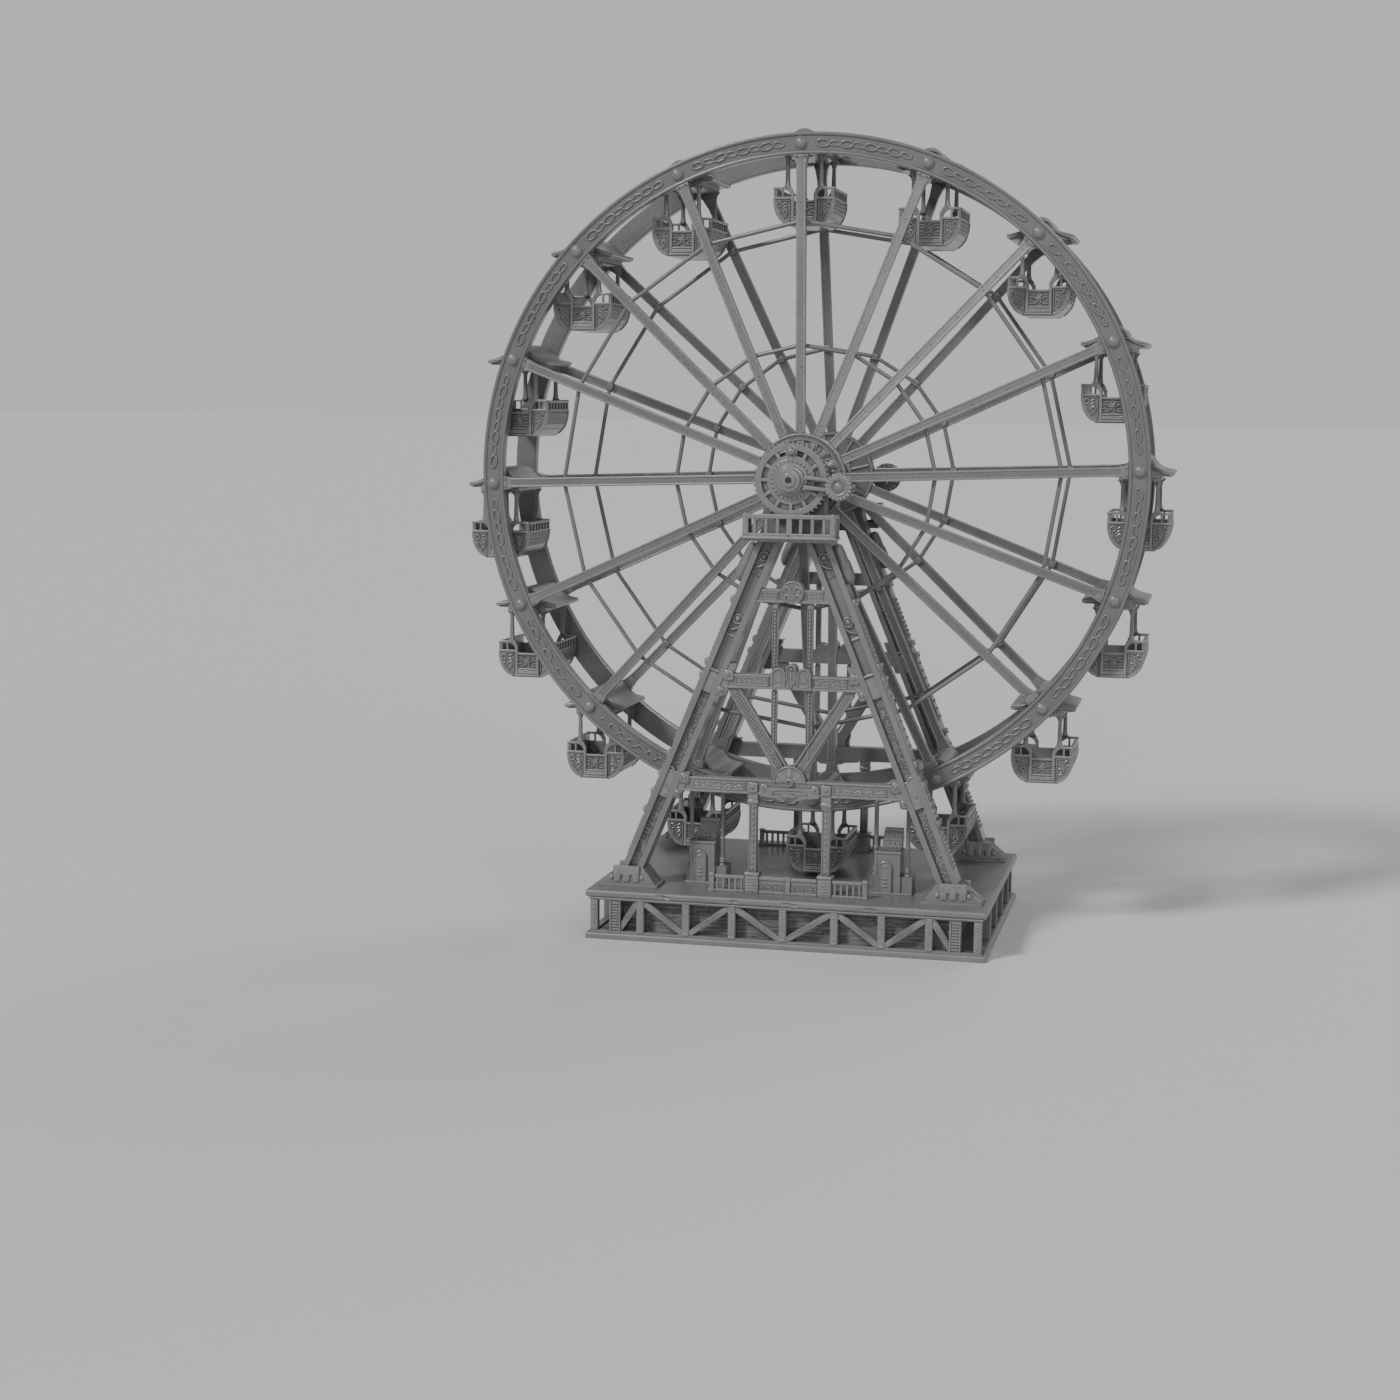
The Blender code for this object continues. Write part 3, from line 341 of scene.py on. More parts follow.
def plug(tree, socket, value):
    """Link another socket to this one, or set its value."""
    if hasattr(value, "links"):
        tree.links.new(value, socket)
    else:
        socket.default_value = value


def add_node(tree, kind, inputs, **settings):
    node = tree.nodes.new(kind)
    for key, value in settings.items():
        setattr(node, key, value)
    for key, value in inputs.items():
        plug(tree, node.inputs[key], value)
    return node


def make_finish(name, dark, light, roughness, metallic, grain, bump, planks=False):
    """Grey paint over metal or wood: patches, worn edges with a painted highlight, painted shade in the
    corners and a fine uneven surface.
    """
    material = bpy.data.materials.new(name)
    material.use_nodes = True
    tree = material.node_tree
    coords = add_node(tree, "ShaderNodeTexCoord", {}).outputs["Object"]

    def noise(scale, detail, stretch=None):
        place = coords
        if stretch:
            mapping = add_node(tree, "ShaderNodeMapping", {"Vector": coords, "Scale": stretch})
            place = mapping.outputs["Vector"]
        inputs = {"Vector": place, "Scale": scale, "Detail": detail}
        return add_node(tree, "ShaderNodeTexNoise", inputs).outputs["Fac"]

    def spread(source, low, high, to_low=0.0, to_high=1.0):
        inputs = {"Value": source, "From Min": low, "From Max": high, "To Min": to_low, "To Max": to_high}
        return add_node(tree, "ShaderNodeMapRange", inputs).outputs["Result"]

    def mix(factor, first, second):
        """First and second are grey levels or sockets."""
        ends = [(end, end, end, 1.0) if isinstance(end, float) else end for end in (first, second)]
        return add_node(tree, "ShaderNodeMix", {0: factor, 6: ends[0], 7: ends[1]},
                        data_type="RGBA").outputs[2]

    def times(first, second):
        return add_node(tree, "ShaderNodeMath", {0: first, 1: second}, operation="MULTIPLY").outputs[0]

    patches = spread(noise(0.7, 3.0), 0.30, 0.70)
    streaks = spread(noise(3.0, 5.0, (1.0, 1.0, 0.25)), 0.42, 0.80)
    fine = noise(grain, 8.0)
    colour = mix(patches, dark, light)
    colour = mix(times(streaks, spread(fine, 0.40, 0.75, 0.0, 0.40)), colour, dark * 0.70)
    # lighter colour on sharp edges, broken up by noise: worn paint and a painted highlight along the edges
    pointiness = add_node(tree, "ShaderNodeNewGeometry", {}).outputs["Pointiness"]
    wear_and_highlight = times(spread(pointiness, 0.53, 0.64, 0.0, 0.8), spread(fine, 0.30, 0.62))
    colour = mix(wear_and_highlight, colour, min(light * 1.5, 0.8))
    # darker colour in corners and recesses, from ambient occlusion: painted shade
    painted_recess_shade = add_node(tree, "ShaderNodeAmbientOcclusion", {"Distance": 0.12}, samples=4, only_local=True)
    colour = mix(spread(painted_recess_shade.outputs["AO"], 0.85, 0.35, 0.0, 0.80), colour, dark * 0.38)
    if planks:
        relief = noise(9.0, 7.0, (0.35, 0.35, 6.0))
        colour = mix(spread(relief, 0.42, 0.66), colour, dark * 0.45)
    else:
        relief = noise(grain * 0.45, 6.0)
    height = add_node(tree, "ShaderNodeBump", {"Strength": bump, "Distance": 0.01, "Height": relief})
    surface = {"Base Color": colour, "Metallic": metallic, "Normal": height.outputs["Normal"],
               "Roughness": spread(fine, 0.3, 0.7, roughness - 0.07, roughness + 0.10),
               "Coat Weight": 0.0 if planks else 0.45, "Coat Roughness": 0.22}
    for key, value in surface.items():
        plug(tree, tree.nodes["Principled BSDF"].inputs[key], value)
    return material


FINISHES = {
    "structure_paint": make_finish("structure_finish", 0.140, 0.172, 0.36, 0.0, 14.0, 0.14),
    "plank_paint": make_finish("plank_finish", 0.135, 0.175, 0.46, 0.0, 11.0, 0.40, planks=True),
    "wheel_paint": make_finish("wheel_finish", 0.122, 0.150, 0.34, 0.0, 16.0, 0.12),
    "cabin_paint": make_finish("cabin_finish", 0.150, 0.182, 0.33, 0.0, 22.0, 0.12),
    "machinery_metal": make_finish("machinery_finish", 0.165, 0.205, 0.31, 0.20, 18.0, 0.14),
}
SLOT_OF = {row["node"]: row["material_slot"] for row in frame["record"]["subparts"]}
BODY_OF = {node: body for body, nodes in frame["record"]["behaviour"]["bodies"].items() for node in nodes}
for node_name, node in frame["nodes"].items():
    node.data.materials.clear()
    node.data.materials.append(FINISHES[SLOT_OF[node_name]])


# Pieces

def add_object(name, data):
    item = bpy.data.objects.new(name, data)
    bpy.context.scene.collection.objects.link(item)
    return item


def settle(name, mesh, body, slot, replaced=(), location=(0.0, 0.0, 0.0)):
    """Object for a mesh, with its finish, its body and the nodes that it stands for."""
    item = add_object(name, mesh)
    item.location = location
    mesh.shade_smooth()
    mesh.set_sharp_from_angle(angle=SHARP_ANGLE)
    mesh.materials.clear()
    mesh.materials.append(FINISHES[slot])
    item.modifiers.new("even_normals", "WEIGHTED_NORMAL").keep_sharp = True
    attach(item, body)
    if replaced:
        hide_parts(*replaced)


def mesh_of(form, name, place=HOME):
    mesh = bpy.data.meshes.new(name)
    mesh.from_pydata([place @ point for point in form.points], [], form.faces)
    shape = bmesh.new()
    shape.from_mesh(mesh)
    bmesh.ops.recalc_face_normals(shape, faces=shape.faces)
    shape.to_mesh(mesh)
    shape.free()
    return mesh


def make_piece(form, name, body, slot, replaced=(), place=HOME):
    settle(name, mesh_of(form, name, place), body, slot, replaced)


def make_pair(form, label, body, slot, replaced=None):
    """A front piece and its mirrored rear one; body and replaced may name the front's, after front_."""
    for side, place in (("front_", HOME), ("rear_", MIRROR_Y)):
        own_body = body.replace("front_", side)
        make_piece(form, side + label, own_body, slot, [side + replaced] if replaced else (), place)


def refine(node, width):
    """The node's own shape with rounded edges, as a piece that stands for it."""
    shape = bmesh.new()
    shape.from_mesh(frame["nodes"][node].data)
    bmesh.ops.remove_doubles(shape, verts=shape.verts, dist=2e-5)
    bmesh.ops.dissolve_limit(shape, angle_limit=math.radians(1.0), verts=shape.verts, edges=shape.edges)
    sharp = [edge for edge in shape.edges
             if len(edge.link_faces) == 2 and edge.calc_face_angle() > math.radians(25.0)]
    bmesh.ops.bevel(shape, geom=sharp, offset=width, segments=2, affect="EDGES", profile=0.5,
                    clamp_overlap=True)
    mesh = bpy.data.meshes.new(node + "_rounded")
    shape.to_mesh(mesh)
    shape.free()
    settle(node + "_rounded", mesh, BODY_OF[node], SLOT_OF[node], [node])


# Base

def make_planks():
    quarter = Matrix.Rotation(math.pi / 2.0, 4, "Z")
    low = PLINTH_TOP + 0.003
    pitch = (DECK_UNDERSIDE - 0.003 - low) / PLANK_ROWS
    for half, face, walls in ((WALL_X - 0.002, WALL_Y + 0.08, {"front": HOME, "rear": MIRROR_Y}),
                              (WALL_Y - 0.004, WALL_X, {"right": quarter, "left": quarter.inverted()})):
        form = Form()
        for row in range(PLANK_ROWS):
            z = low + row * pitch
            ends = [-half, *sorted(rng.uniform(-half * 0.9, half * 0.9) for _ in range(3)), half]
            for start, end in zip(ends[:-1], ends[1:]):
                if end - start < 0.15:
                    continue
                proud = rng.uniform(-0.012, 0.004)
                form.block((start + 0.004, end - 0.004), (-face - proud, -face + 0.07),
                           (z + 0.004, z + pitch - 0.003), 0.010)
        form.block((-half, half), (-face + 0.03, -face + 0.075), (low, low + PLANK_ROWS * pitch), 0.004)
        for side, place in walls.items():
            make_piece(form, side + "_planks", "root", "plank_paint", ["base_%s_wall" % side], place)


def chip_depth(x, z):
    return sum(depth * math.exp(-((x - cx) / wide) ** 4 - ((z - cz) / CHIP_HALF_HEIGHT) ** 4)
               for cx, cz, wide, depth in DECK_CHIPS)


def rounded_slab(bottom, top, round_low, round_high, chipped=False):
    """Slab over the whole base with quarter-round edges; its front edge can be chipped."""
    quarter = [(math.cos(turn), math.sin(turn)) for turn in stops(0.0, math.pi / 2.0, 7)]
    levels = [(bottom + round_low * (1.0 - cosine), round_low * (1.0 - sine)) for cosine, sine in quarter]
    if chipped:
        levels += [(z, 0.0) for z in stops(bottom + round_low, top - round_high, 5)[1:-1]]
    levels += [(top - round_high * (1.0 - sine), round_high * (1.0 - cosine)) for cosine, sine in quarter]
    rings = []
    for z, back in levels:
        x = BASE_WIDTH / 2.0 - back - SLAB_CORNER
        y = BASE_DEPTH / 2.0 - back - SLAB_CORNER
        ring = []
        for cx, cy, start in ((x, y, 0), (-x, y, 90), (-x, -y, 180), (x, -y, 270)):
            ring += [(px, py, z) for px, py in arc(cx, cy, SLAB_CORNER, start, start + 90, 4)]
            if chipped and start == 180:
                # the front edge is cut into short lengths, pressed in where it is chipped
                for px in stops(-x, x, CHIP_STEPS + 1)[1:-1]:
                    ring.append((px, -y - SLAB_CORNER + chip_depth(px, z), z))
        rings.append(ring)
    form = Form()
    form.loft(rings)
    return form


def make_slabs():
    plinth = rounded_slab(0.0, PLINTH_TOP, 0.012, 0.075)
    make_piece(plinth, "plinth_rounded", "root", "structure_paint", ["plinth_slab"])
    deck = rounded_slab(DECK_UNDERSIDE, DECK_TOP, 0.05, 0.075, chipped=True)
    make_piece(deck, "deck_rounded", "root", "structure_paint", ["deck_slab"])


def add_board(form, near, far, z0, z1):
    """Rough diagonal board with level ends and strands of grain, on both sides of the middle."""
    along = Vector((far - near, z1 - z0))
    half = 0.075 * along.length / abs(along.y)
    front = FRAME_FACE_Y + 0.012
    for sign in SIDES:
        board = ((near - half, z0), (near + half, z0), (far + half, z1), (far - half, z1))
        form.prism([(sign * x, z) for x, z in board], FRAME_FACE_Y + 0.12, front, 0.010)
        for offset in stops(-0.72 * half, 0.72 * half, 6):
            start = rng.uniform(0.08, 0.35)
            end = rng.uniform(0.60, 0.92)
            strand = []
            for share in stops(start, end, 7):
                x = near + along.x * share + offset + rng.uniform(-0.010, 0.010)
                strand.append((sign * x, z0 + along.y * share))
            form.trace(strand, front, [0.004, 0.010, 0.013, 0.010, 0.013, 0.009, 0.004], 5)


def make_base_ornament():
    form = Form()
    y = FRAME_FACE_Y - 0.02
    low = PLINTH_TOP + 0.06
    high = DECK_UNDERSIDE - 0.10
    lip = around(DECK_UNDERSIDE - 0.035, 0.022)
    for x in sorted({sign * post for post in POST_XS for sign in SIDES}):
        for foot in ((low - 0.03, low + 0.035), (high - 0.035, high + 0.03)):
            form.block(around(x, 0.098), (y - 0.006, y + 0.06), foot, 0.016)
    plain = [(sign * post, 0.004, 0.024) for post in POST_XS[1:] for sign in SIDES] + [(0.0, 0.004, 0.024)]
    for x, back, stud in plain + [(sign * CORNER_POST_X, 0.002, 0.034) for sign in SIDES]:
        form.block(around(x, 0.088), (y + 0.004, y + 0.06), (low, high), 0.020)
        for z in stops(low + 0.10, high - 0.10, 7):
            form.bead(x, y + back, z, stud, 0.8)
    for x in (WIDE_POST_X, -WIDE_POST_X):
        # ladder between two edge bars
        for edge in (-0.125, 0.125):
            form.block(around(x + edge, 0.022), (y - 0.02, y + 0.03), (low, high), 0.008)
        for z in stops(low + 0.05, high - 0.05, 10):
            form.block(around(x, 0.10), (y - 0.008, y + 0.03), around(z, 0.02), 0.008)
    stations = [*POST_XS, WIDE_POST_X]
    for index, (near, far) in enumerate(zip(stations[:-1], stations[1:])):
        heights = (low - 0.01, high + 0.01) if index % 2 == 0 else (high + 0.01, low - 0.01)
        add_board(form, near + 0.045, far - (0.08 if far == WIDE_POST_X else 0.045), *heights)
    form.block((-5.165, 5.165), (y - 0.022, y + 0.05), lip, 0.014)
    make_pair(form, "base_ornament", "root", "structure_paint")

    flank = Form()
    for post in SIDE_POST_YS:
        for edge in (post - 0.07, post + 0.07, -post - 0.07, -post + 0.07):
            flank.block((FRAME_SIDE_X - 0.03, FRAME_SIDE_X + 0.012), around(edge, 0.02), (low, high), 0.008)
    flank.block((FRAME_SIDE_X - 0.05, FRAME_SIDE_X + 0.02), (-3.8, 3.8), lip, 0.014)
    for side, place in (("right", HOME), ("left", MIRROR_X)):
        make_piece(flank, side + "_base_ornament", "root", "structure_paint", (), place)


# Towers

def add_scroll(form, size, y):
    """Comma-shaped scroll round the frame's origin: a ringed knob with a tail that sweeps down and out."""
    form.trace(arc(0.0, 0.0, 0.26 * size, 0, 342, 19), y, 0.075 * size, 8, closed=True)
    form.dome(0.0, 0.0, y + 0.01, 0.20 * size, 0.12 * size, 16)
    tail = ((-0.20, -0.14), (-0.25, -0.27), (-0.21, -0.41), (-0.10, -0.54), (0.06, -0.65), (0.23, -0.72),
            (0.37, -0.74))
    form.trace([(x * size, z * size) for x, z in tail], y + 0.006,
               [size * w for w in (0.06, 0.085, 0.095, 0.09, 0.075, 0.055, 0.025)], 8)


def add_leaves(form, y):
    """Low relief of three curled leaves."""
    for x, lift in ((-0.085, 0.0), (0.0, 0.035), (0.085, 0.0)):
        leaf = [(x * 0.3, -0.06), (x * 0.8, lift - 0.02), (x * 1.2, lift + 0.035), (x * 1.05, lift + 0.075)]
        form.trace(leaf, y, [0.012, 0.030, 0.032, 0.014])


def add_bark(form, place_at, top, bottom):
    """Overlapping uneven locks of bark-like relief in a leg's channel."""
    for index, z in enumerate(cells(top, bottom, int((top - bottom) / 0.026))):
        form.place = place_at(z)
        reach = rng.uniform(0.55, 1.0)
        left = -0.145 + 0.29 * (1.0 - reach) * rng.choice((0.0, 0.5, 1.0))
        slope = 0.55 + 0.45 * math.sin(index * 0.17) + rng.uniform(-0.15, 0.15)
        bend = rng.uniform(0.010, 0.034)
        phase = 0.9 * math.sin(index * 0.23) + rng.uniform(-0.5, 0.5)
        thick = rng.uniform(0.014, 0.027)
        lift = rng.uniform(0.012, 0.024)
        path = []
        for share in stops(0.0, 1.0, 8):
            x = left + 0.29 * reach * share
            path.append((x, LEG_WEB_Y + 0.002 - lift * math.sin(math.pi * share),
                         slope * x + bend * math.sin(2.0 * math.pi * reach * share + phase)))
        form.tube(path, [thick * w for w in (0.35, 0.8, 1.0, 0.8, 0.9, 1.1, 0.8, 0.35)], 5)


def add_channel(form, place_at):
    """Ornament in one face of a leg's channel: scrolls, leaves, plates and bark."""
    for z in (10.08, 8.45):
        form.place = place_at(z) @ Matrix.Translation((-0.02, 0.0, 0.0))
        add_scroll(form, 0.46, LEG_WEB_Y - 0.04)
    form.place = place_at(9.62)
    add_leaves(form, LEG_WEB_Y - 0.015)
    for z, half, front, low, high, bevel in ((8.02, 0.135, LEG_WEB_Y - 0.045, -0.03, 0.03, 0.020),
                                             (7.10, 0.140, LEG_FRONT_Y + 0.015, -0.03, 0.03, 0.020),
                                             (6.80, 0.140, LEG_FRONT_Y + 0.055, -0.29, 0.27, 0.015),
                                             (4.12, 0.140, LEG_FRONT_Y + 0.050, -0.42, 0.34, 0.020)):
        form.place = place_at(z)
        form.block((-half, half), (front, LEG_WEB_Y + 0.02), (low, high), bevel)
    # wave and stud on the lowest plate
    wave = [(0.13 * step, 0.36 + 0.05 * math.sin(2.6 * step)) for step in stops(-1.0, 1.0, 9)]
    form.trace(wave, LEG_FRONT_Y + 0.06, 0.030)
    form.bead(0.03, LEG_FRONT_Y + 0.045, -0.12, 0.035)
    add_bark(form, place_at, 6.45, 4.62)
    add_bark(form, place_at, 3.66, 2.02)


def add_flank(form):
    """Outer flank of the right leg: studded strips, bolted blocks and the capsule housing."""
    for top, bottom, wide in ((8.6, 7.5, 0.20), (7.1, 5.2, 0.26), (4.6, 3.4, 0.30), (3.2, 2.2, 0.22)):
        corners = ((-0.02, -wide), (0.035, 0.02 - wide), (0.035, wide - 0.02), (-0.02, wide))
        form.loft([[(leg_out(z) + out, LEG_MID_Y + y, z) for out, y in corners] for z in (top, bottom)])
        for z in cells(top, bottom, 9):
            for y in around(LEG_MID_Y, 0.11):
                form.bead(leg_out(z) + 0.035, y, z, 0.034)
    for z in (8.95, 7.32, 6.98, 4.86, 4.34, 3.84, 3.36):
        x = leg_out(z)
        form.block((x - 0.06, x + 0.085), around(LEG_MID_Y, 0.27), around(z, 0.085), 0.035)
        form.bead(x + 0.075, LEG_MID_Y, z, 0.05)
    capsule = ((10.36, 0.130), (10.20, 0.150), (9.99, 0.152), (9.95, 0.178), (9.80, 0.184), (9.66, 0.180),
               (9.56, 0.158), (9.48, 0.115), (9.43, 0.060), (9.41, 0.012))
    for part in (capsule, ((10.36, 0.130), (10.42, 0.060))):
        path = [(leg_out(z) + 0.10, LEG_MID_Y, z) for z, radius in part]
        form.tube(path, [radius for z, radius in part], 20)


def add_foot(form):
    """Right foot: lugs that hang from a panel between two knobs, front and back, and a ribbed outer slope."""
    for front, back in ((-3.475, -3.30), (-2.63, -2.80)):
        near, far = sorted((front, back))
        form.block((3.945, 4.665), (near + 0.004, far - 0.004), (1.60, 1.845), 0.024)
        for x in (4.055, 4.305, 4.555):
            form.block(around(x, 0.102), (near, far), (1.43, 1.80), 0.030)
        for x in (3.90, 4.71):
            form.bead(x, 0.55 * front + 0.45 * back, 1.535, 0.085)
    for y in (-3.30, -3.06, -2.82):
        corners = ((0.0, -0.05), (0.05, -0.05), (0.05, 0.05), (0.0, 0.05))
        form.loft([[(x + out, y + aside, z + 0.8 * out) for out, aside in corners]
                   for x, z in ((4.97, 1.36), (4.44, 1.80))])


def make_leg_ornament():
    form = Form()
    to_back = Matrix.Translation((0.0, 2.0 * LEG_MID_Y, 0.0)) @ MIRROR_Y
    for leg in (0, 1):
        for flip in (HOME, to_back):
            add_channel(form, lambda z: flip @ leg_frames(z)[leg])
    for place in (HOME, MIRROR_X):
        form.place = place
        add_flank(form)
        add_foot(form)
    make_pair(form, "leg_ornament", "root", "structure_paint")


def add_half_palmette(form, x, z, size, y, mirror, bold=1.0):
    """Half of a palmette: a stem leaf that curls outwards and a smaller one under it."""
    outer = ((0.04, -0.50, 0.030), (0.07, -0.20, 0.045), (0.10, 0.08, 0.060), (0.20, 0.32, 0.075),
             (0.38, 0.40, 0.080), (0.54, 0.28, 0.075), (0.52, 0.10, 0.060), (0.40, 0.08, 0.050))
    lower = ((0.10, -0.46, 0.030), (0.20, -0.24, 0.050), (0.36, -0.12, 0.065), (0.52, -0.20, 0.070),
             (0.50, -0.36, 0.060), (0.38, -0.36, 0.045))
    for leaf in (outer, lower):
        form.trace([(x + mirror * size * px, z + size * pz) for px, pz, width in leaf], y,
                   [size * bold * width for px, pz, width in leaf], 8, flat=0.8)


def add_panel(form, sign, near, far, z0, z1):
    """Raised frame on a beam's face, with a waving stem and curls inside."""
    x0, x1 = on_side(sign, near, far)
    y = BEAM_FRONT_Y
    bar = 0.026
    for x, z in (((x0, x1), (z1 - bar, z1)), ((x0, x1), (z0, z0 + bar)),
                 ((x0, x0 + bar), (z0, z1)), ((x1 - bar, x1), (z0, z1))):
        form.block(x, (y - 0.024, y + 0.02), z, 0.010)
    middle = (z0 + z1) / 2.0
    high = 0.5 * (z1 - z0) - bar
    curls = max(2, round((x1 - x0) / 0.15))
    pitch = (x1 - x0 - 0.10) / curls
    form.trace([(x0 + 0.05 + pitch * share, middle + 0.34 * high * math.sin(math.pi * share + 0.5))
                for share in stops(0.0, curls, 6 * curls + 1)], y - 0.002, 0.012)
    for index in range(curls):
        side = 1.0 if index % 2 else -1.0
        centre = (x0 + 0.05 + pitch * (index + 0.5 + rng.uniform(-0.08, 0.08)), middle + side * 0.28 * high)
        size = min(0.42 * pitch, 0.60 * high)
        curl = [polar(size * (1.0 - 0.085 * step), side * (2.6 - 0.62 * step), centre) for step in range(9)]
        form.trace(curl, y - 0.004, [0.010, 0.014, 0.016, 0.016, 0.016, 0.015, 0.014, 0.012, 0.010])
        form.bead(centre[0], y - 0.004, centre[1], 0.016)


def add_top_beam(form):
    """Medallion with two leaves, a panel on each side, and the struts' caps and beads."""
    y = BEAM_FRONT_Y - 0.05
    for sign in SIDES:
        add_half_palmette(form, 0.0, MEDALLION_Z - 0.01, 0.40, y - 0.004, sign, 1.45)
        add_panel(form, sign, 0.36, 0.80, TOP_BEAM_Z[0] + 0.07, TOP_BEAM_Z[1] - 0.07)
    form.trace(arc(0.0, MEDALLION_Z, 0.275, 0, 350, 35), y - 0.002, 0.030, 8, closed=True)
    form.block((-0.018, 0.018), around(y, 0.02), around(MEDALLION_Z, 0.26), 0.01)
    for x in (STRUT_X, -STRUT_X):
        for z in ((7.12, 8.82), (4.55, 6.60)):
            form.block(around(x, 0.070), (-3.250, -3.225), z, 0.006)
            for edge in around(x, 0.060):
                form.block(around(edge, 0.014), (-3.278, -3.12), z, 0.008)
            for level in cells(*z, int((z[1] - z[0]) / 0.095)):
                form.bead(x, -3.268, level, 0.042)
        form.block(around(x, 0.075), (-3.30, -3.08), (8.74, 8.90), 0.02)


def add_middle_beam(form):
    """Crest of three arches and a panel on each side."""
    y = BEAM_FRONT_Y - 0.045
    leaf = ((-0.095, 6.82), (0.0, 6.845), (0.095, 6.82), (0.088, 6.90), (0.062, 6.98), (0.030, 7.04),
            (0.0, 7.09), (-0.030, 7.04), (-0.062, 6.98), (-0.088, 6.90))
    plate = ((-0.115, 6.72), (0.115, 6.72), (0.115, 6.79), (-0.115, 6.79))
    for sign in SIDES:
        arch = [(0.50, 6.78), *arc(0.335, 7.04, 0.165, 0, 180, 16), (0.17, 6.78)]
        form.trace([(sign * x, z) for x, z in arch], y, 0.036, 8)
        for outline, proud, bevel in ((leaf, 0.022, 0.020), (plate, 0.015, 0.018)):
            form.prism([(sign * 0.335 + x, z) for x, z in outline], y + 0.03, y - proud, bevel)
        add_panel(form, sign, 0.58, 1.46, MID_BEAM_Z[0] + 0.075, MID_BEAM_Z[1] - 0.075)
    shield = [(-0.11, 6.90), *arc(0.0, 7.18, 0.115, 180, 0, 16), (0.11, 6.90), (0.055, 6.82), (0.0, 6.79),
              (-0.055, 6.82)]
    form.trace(shield, y, 0.034, 8, closed=True)
    form.dome(0.0, 7.19, y + 0.01, 0.060, 0.055, 16)
    form.trace([(0.0, 7.10), (0.0, 7.02), (0.0, 6.92)], y, [0.012, 0.036, 0.010], 8)
    form.dome(0.0, 6.745, y + 0.01, 0.05, 0.055, 12)


def add_v_brace(form):
    """Raised edges and short cross ribs on both arms of the V brace."""
    foot = Vector((0.12, 4.45))
    head = Vector((1.53, 6.66))
    length = (head - foot).length
    along = (head - foot) / length
    aside = Vector((-along.y, along.x))
    for sign in SIDES:
        for edge in (-0.128, 0.128):
            low = foot + aside * edge + along * 0.10
            high = head + aside * edge - along * 0.05
            path = [(sign * point.x, point.y) for point in (low, (low + high) / 2.0, high)]
            form.prism(strip_outline(path, 0.06), -3.10, -3.325, 0.016)
        for reach in stops(0.2, length - 0.15, int(length / 0.085)):
            middle = foot + along * reach
            tilt = aside * rng.uniform(0.055, 0.075) + along * rng.uniform(0.0, 0.03)
            rib = ((middle - tilt, -3.285), (middle, -3.297), (middle + tilt, -3.285))
            form.tube([(sign * point.x, y, point.y) for point, y in rib], [0.014, 0.020, 0.014], 5)


def add_lower_beam(form):
    """Fan, boss blocks, panels, and a lip with an oval pendant."""
    beam_y = BEAM_FRONT_Y
    fan_y = beam_y - 0.04
    form.trace(arc(0.0, FAN_Z, 0.405, 0, 180, 16), fan_y - 0.004, 0.030, 8)
    corners = ((-1.0, 0.02), (1.0, 0.02), (1.0, -0.02), (-1.0, -0.02))
    for degrees in (38, 90, 142):
        form.place = outward(math.radians(degrees), (0.0, FAN_Z))
        form.loft([[(side * width, fan_y + depth, z) for side, depth in corners]
                   for width, z in ((0.031, 0.12), (0.062, 0.37))])
    form.place = HOME
    form.lathe([(0.11, fan_y + 0.03), (0.11, fan_y - 0.045), (0.085, fan_y - 0.06), (0.06, fan_y - 0.06),
                (0.05, fan_y - 0.02), (0.001, fan_y - 0.02)], 20, (0.0, FAN_Z))
    for sign in SIDES:
        for x, size in ((sign * COLUMN_X, 0.135), (sign * 0.67, 0.10)):
            form.block(around(x, size), (beam_y - 0.075, beam_y + 0.02), around(4.09, size), 0.035)
            form.dome(x, 4.09, beam_y - 0.07, size * 0.42, 0.04, 12)
        add_panel(form, sign, 1.16, 2.55, LOW_BEAM_Z[0] + 0.08, LOW_BEAM_Z[1] - 0.10)
    plate = [(-0.50, 3.93), *arc(-0.42, 4.02, 0.06, 180, 100, 4), *arc(0.42, 4.02, 0.06, 80, 0, 4),
             (0.50, 3.93)]
    form.prism(plate, beam_y + 0.02, beam_y - 0.072, 0.020)
    half_lip = [(0.30, 4.065), (0.38, 4.045), (0.425, 4.00), (0.44, 3.95)]
    form.trace([(-x, z) for x, z in half_lip[::-1]] + [(0.0, 4.07)] + half_lip, beam_y - 0.076, 0.028, 8)
    for scale, depth in ((1.0, 0.0), (0.72, 0.028)):
        oval = [(0.25 * scale * math.cos(turn), 3.90 + 0.095 * scale * math.sin(turn)) for turn in turns(28)]
        form.prism(oval, beam_y + 0.02, beam_y - 0.072 - depth, 0.022)
    form.dome(0.0, 3.90, beam_y - 0.095, 0.048, 0.035, 16)


def make_bracing_ornament():
    form = Form()
    y = BEAM_FRONT_Y
    for z0, z1 in (TOP_BEAM_Z, MID_BEAM_Z, LOW_BEAM_Z):
        for edge, z in ((z0, z0 + 0.03), (z1, z1 - 0.03)):
            half = leg_in(edge) - 0.01
            form.block((-half, half), (y - 0.03, y + 0.02), around(z, 0.03), 0.014)
    add_top_beam(form)
    add_middle_beam(form)
    add_v_brace(form)
    add_lower_beam(form)
    # bolted blocks where the beams meet the legs' inner flanks
    for z, half_x, half_z in ((6.99, 0.135, 0.13), (6.56, 0.10, 0.12), (4.24, 0.13, 0.13),
                              (3.83, 0.10, 0.11)):
        for sign in SIDES:
            x = sign * (leg_in(z) - half_x + 0.03)
            form.block(around(x, half_x), (y - 0.075, y + 0.01), around(z, half_z), 0.040)
            form.trace(arc(x, z, 0.060, 0, 330, 11), y - 0.075, 0.014, closed=True)
            form.dome(x, z, y - 0.070, 0.045, 0.035, 14)
    make_pair(form, "bracing_ornament", "root", "structure_paint")


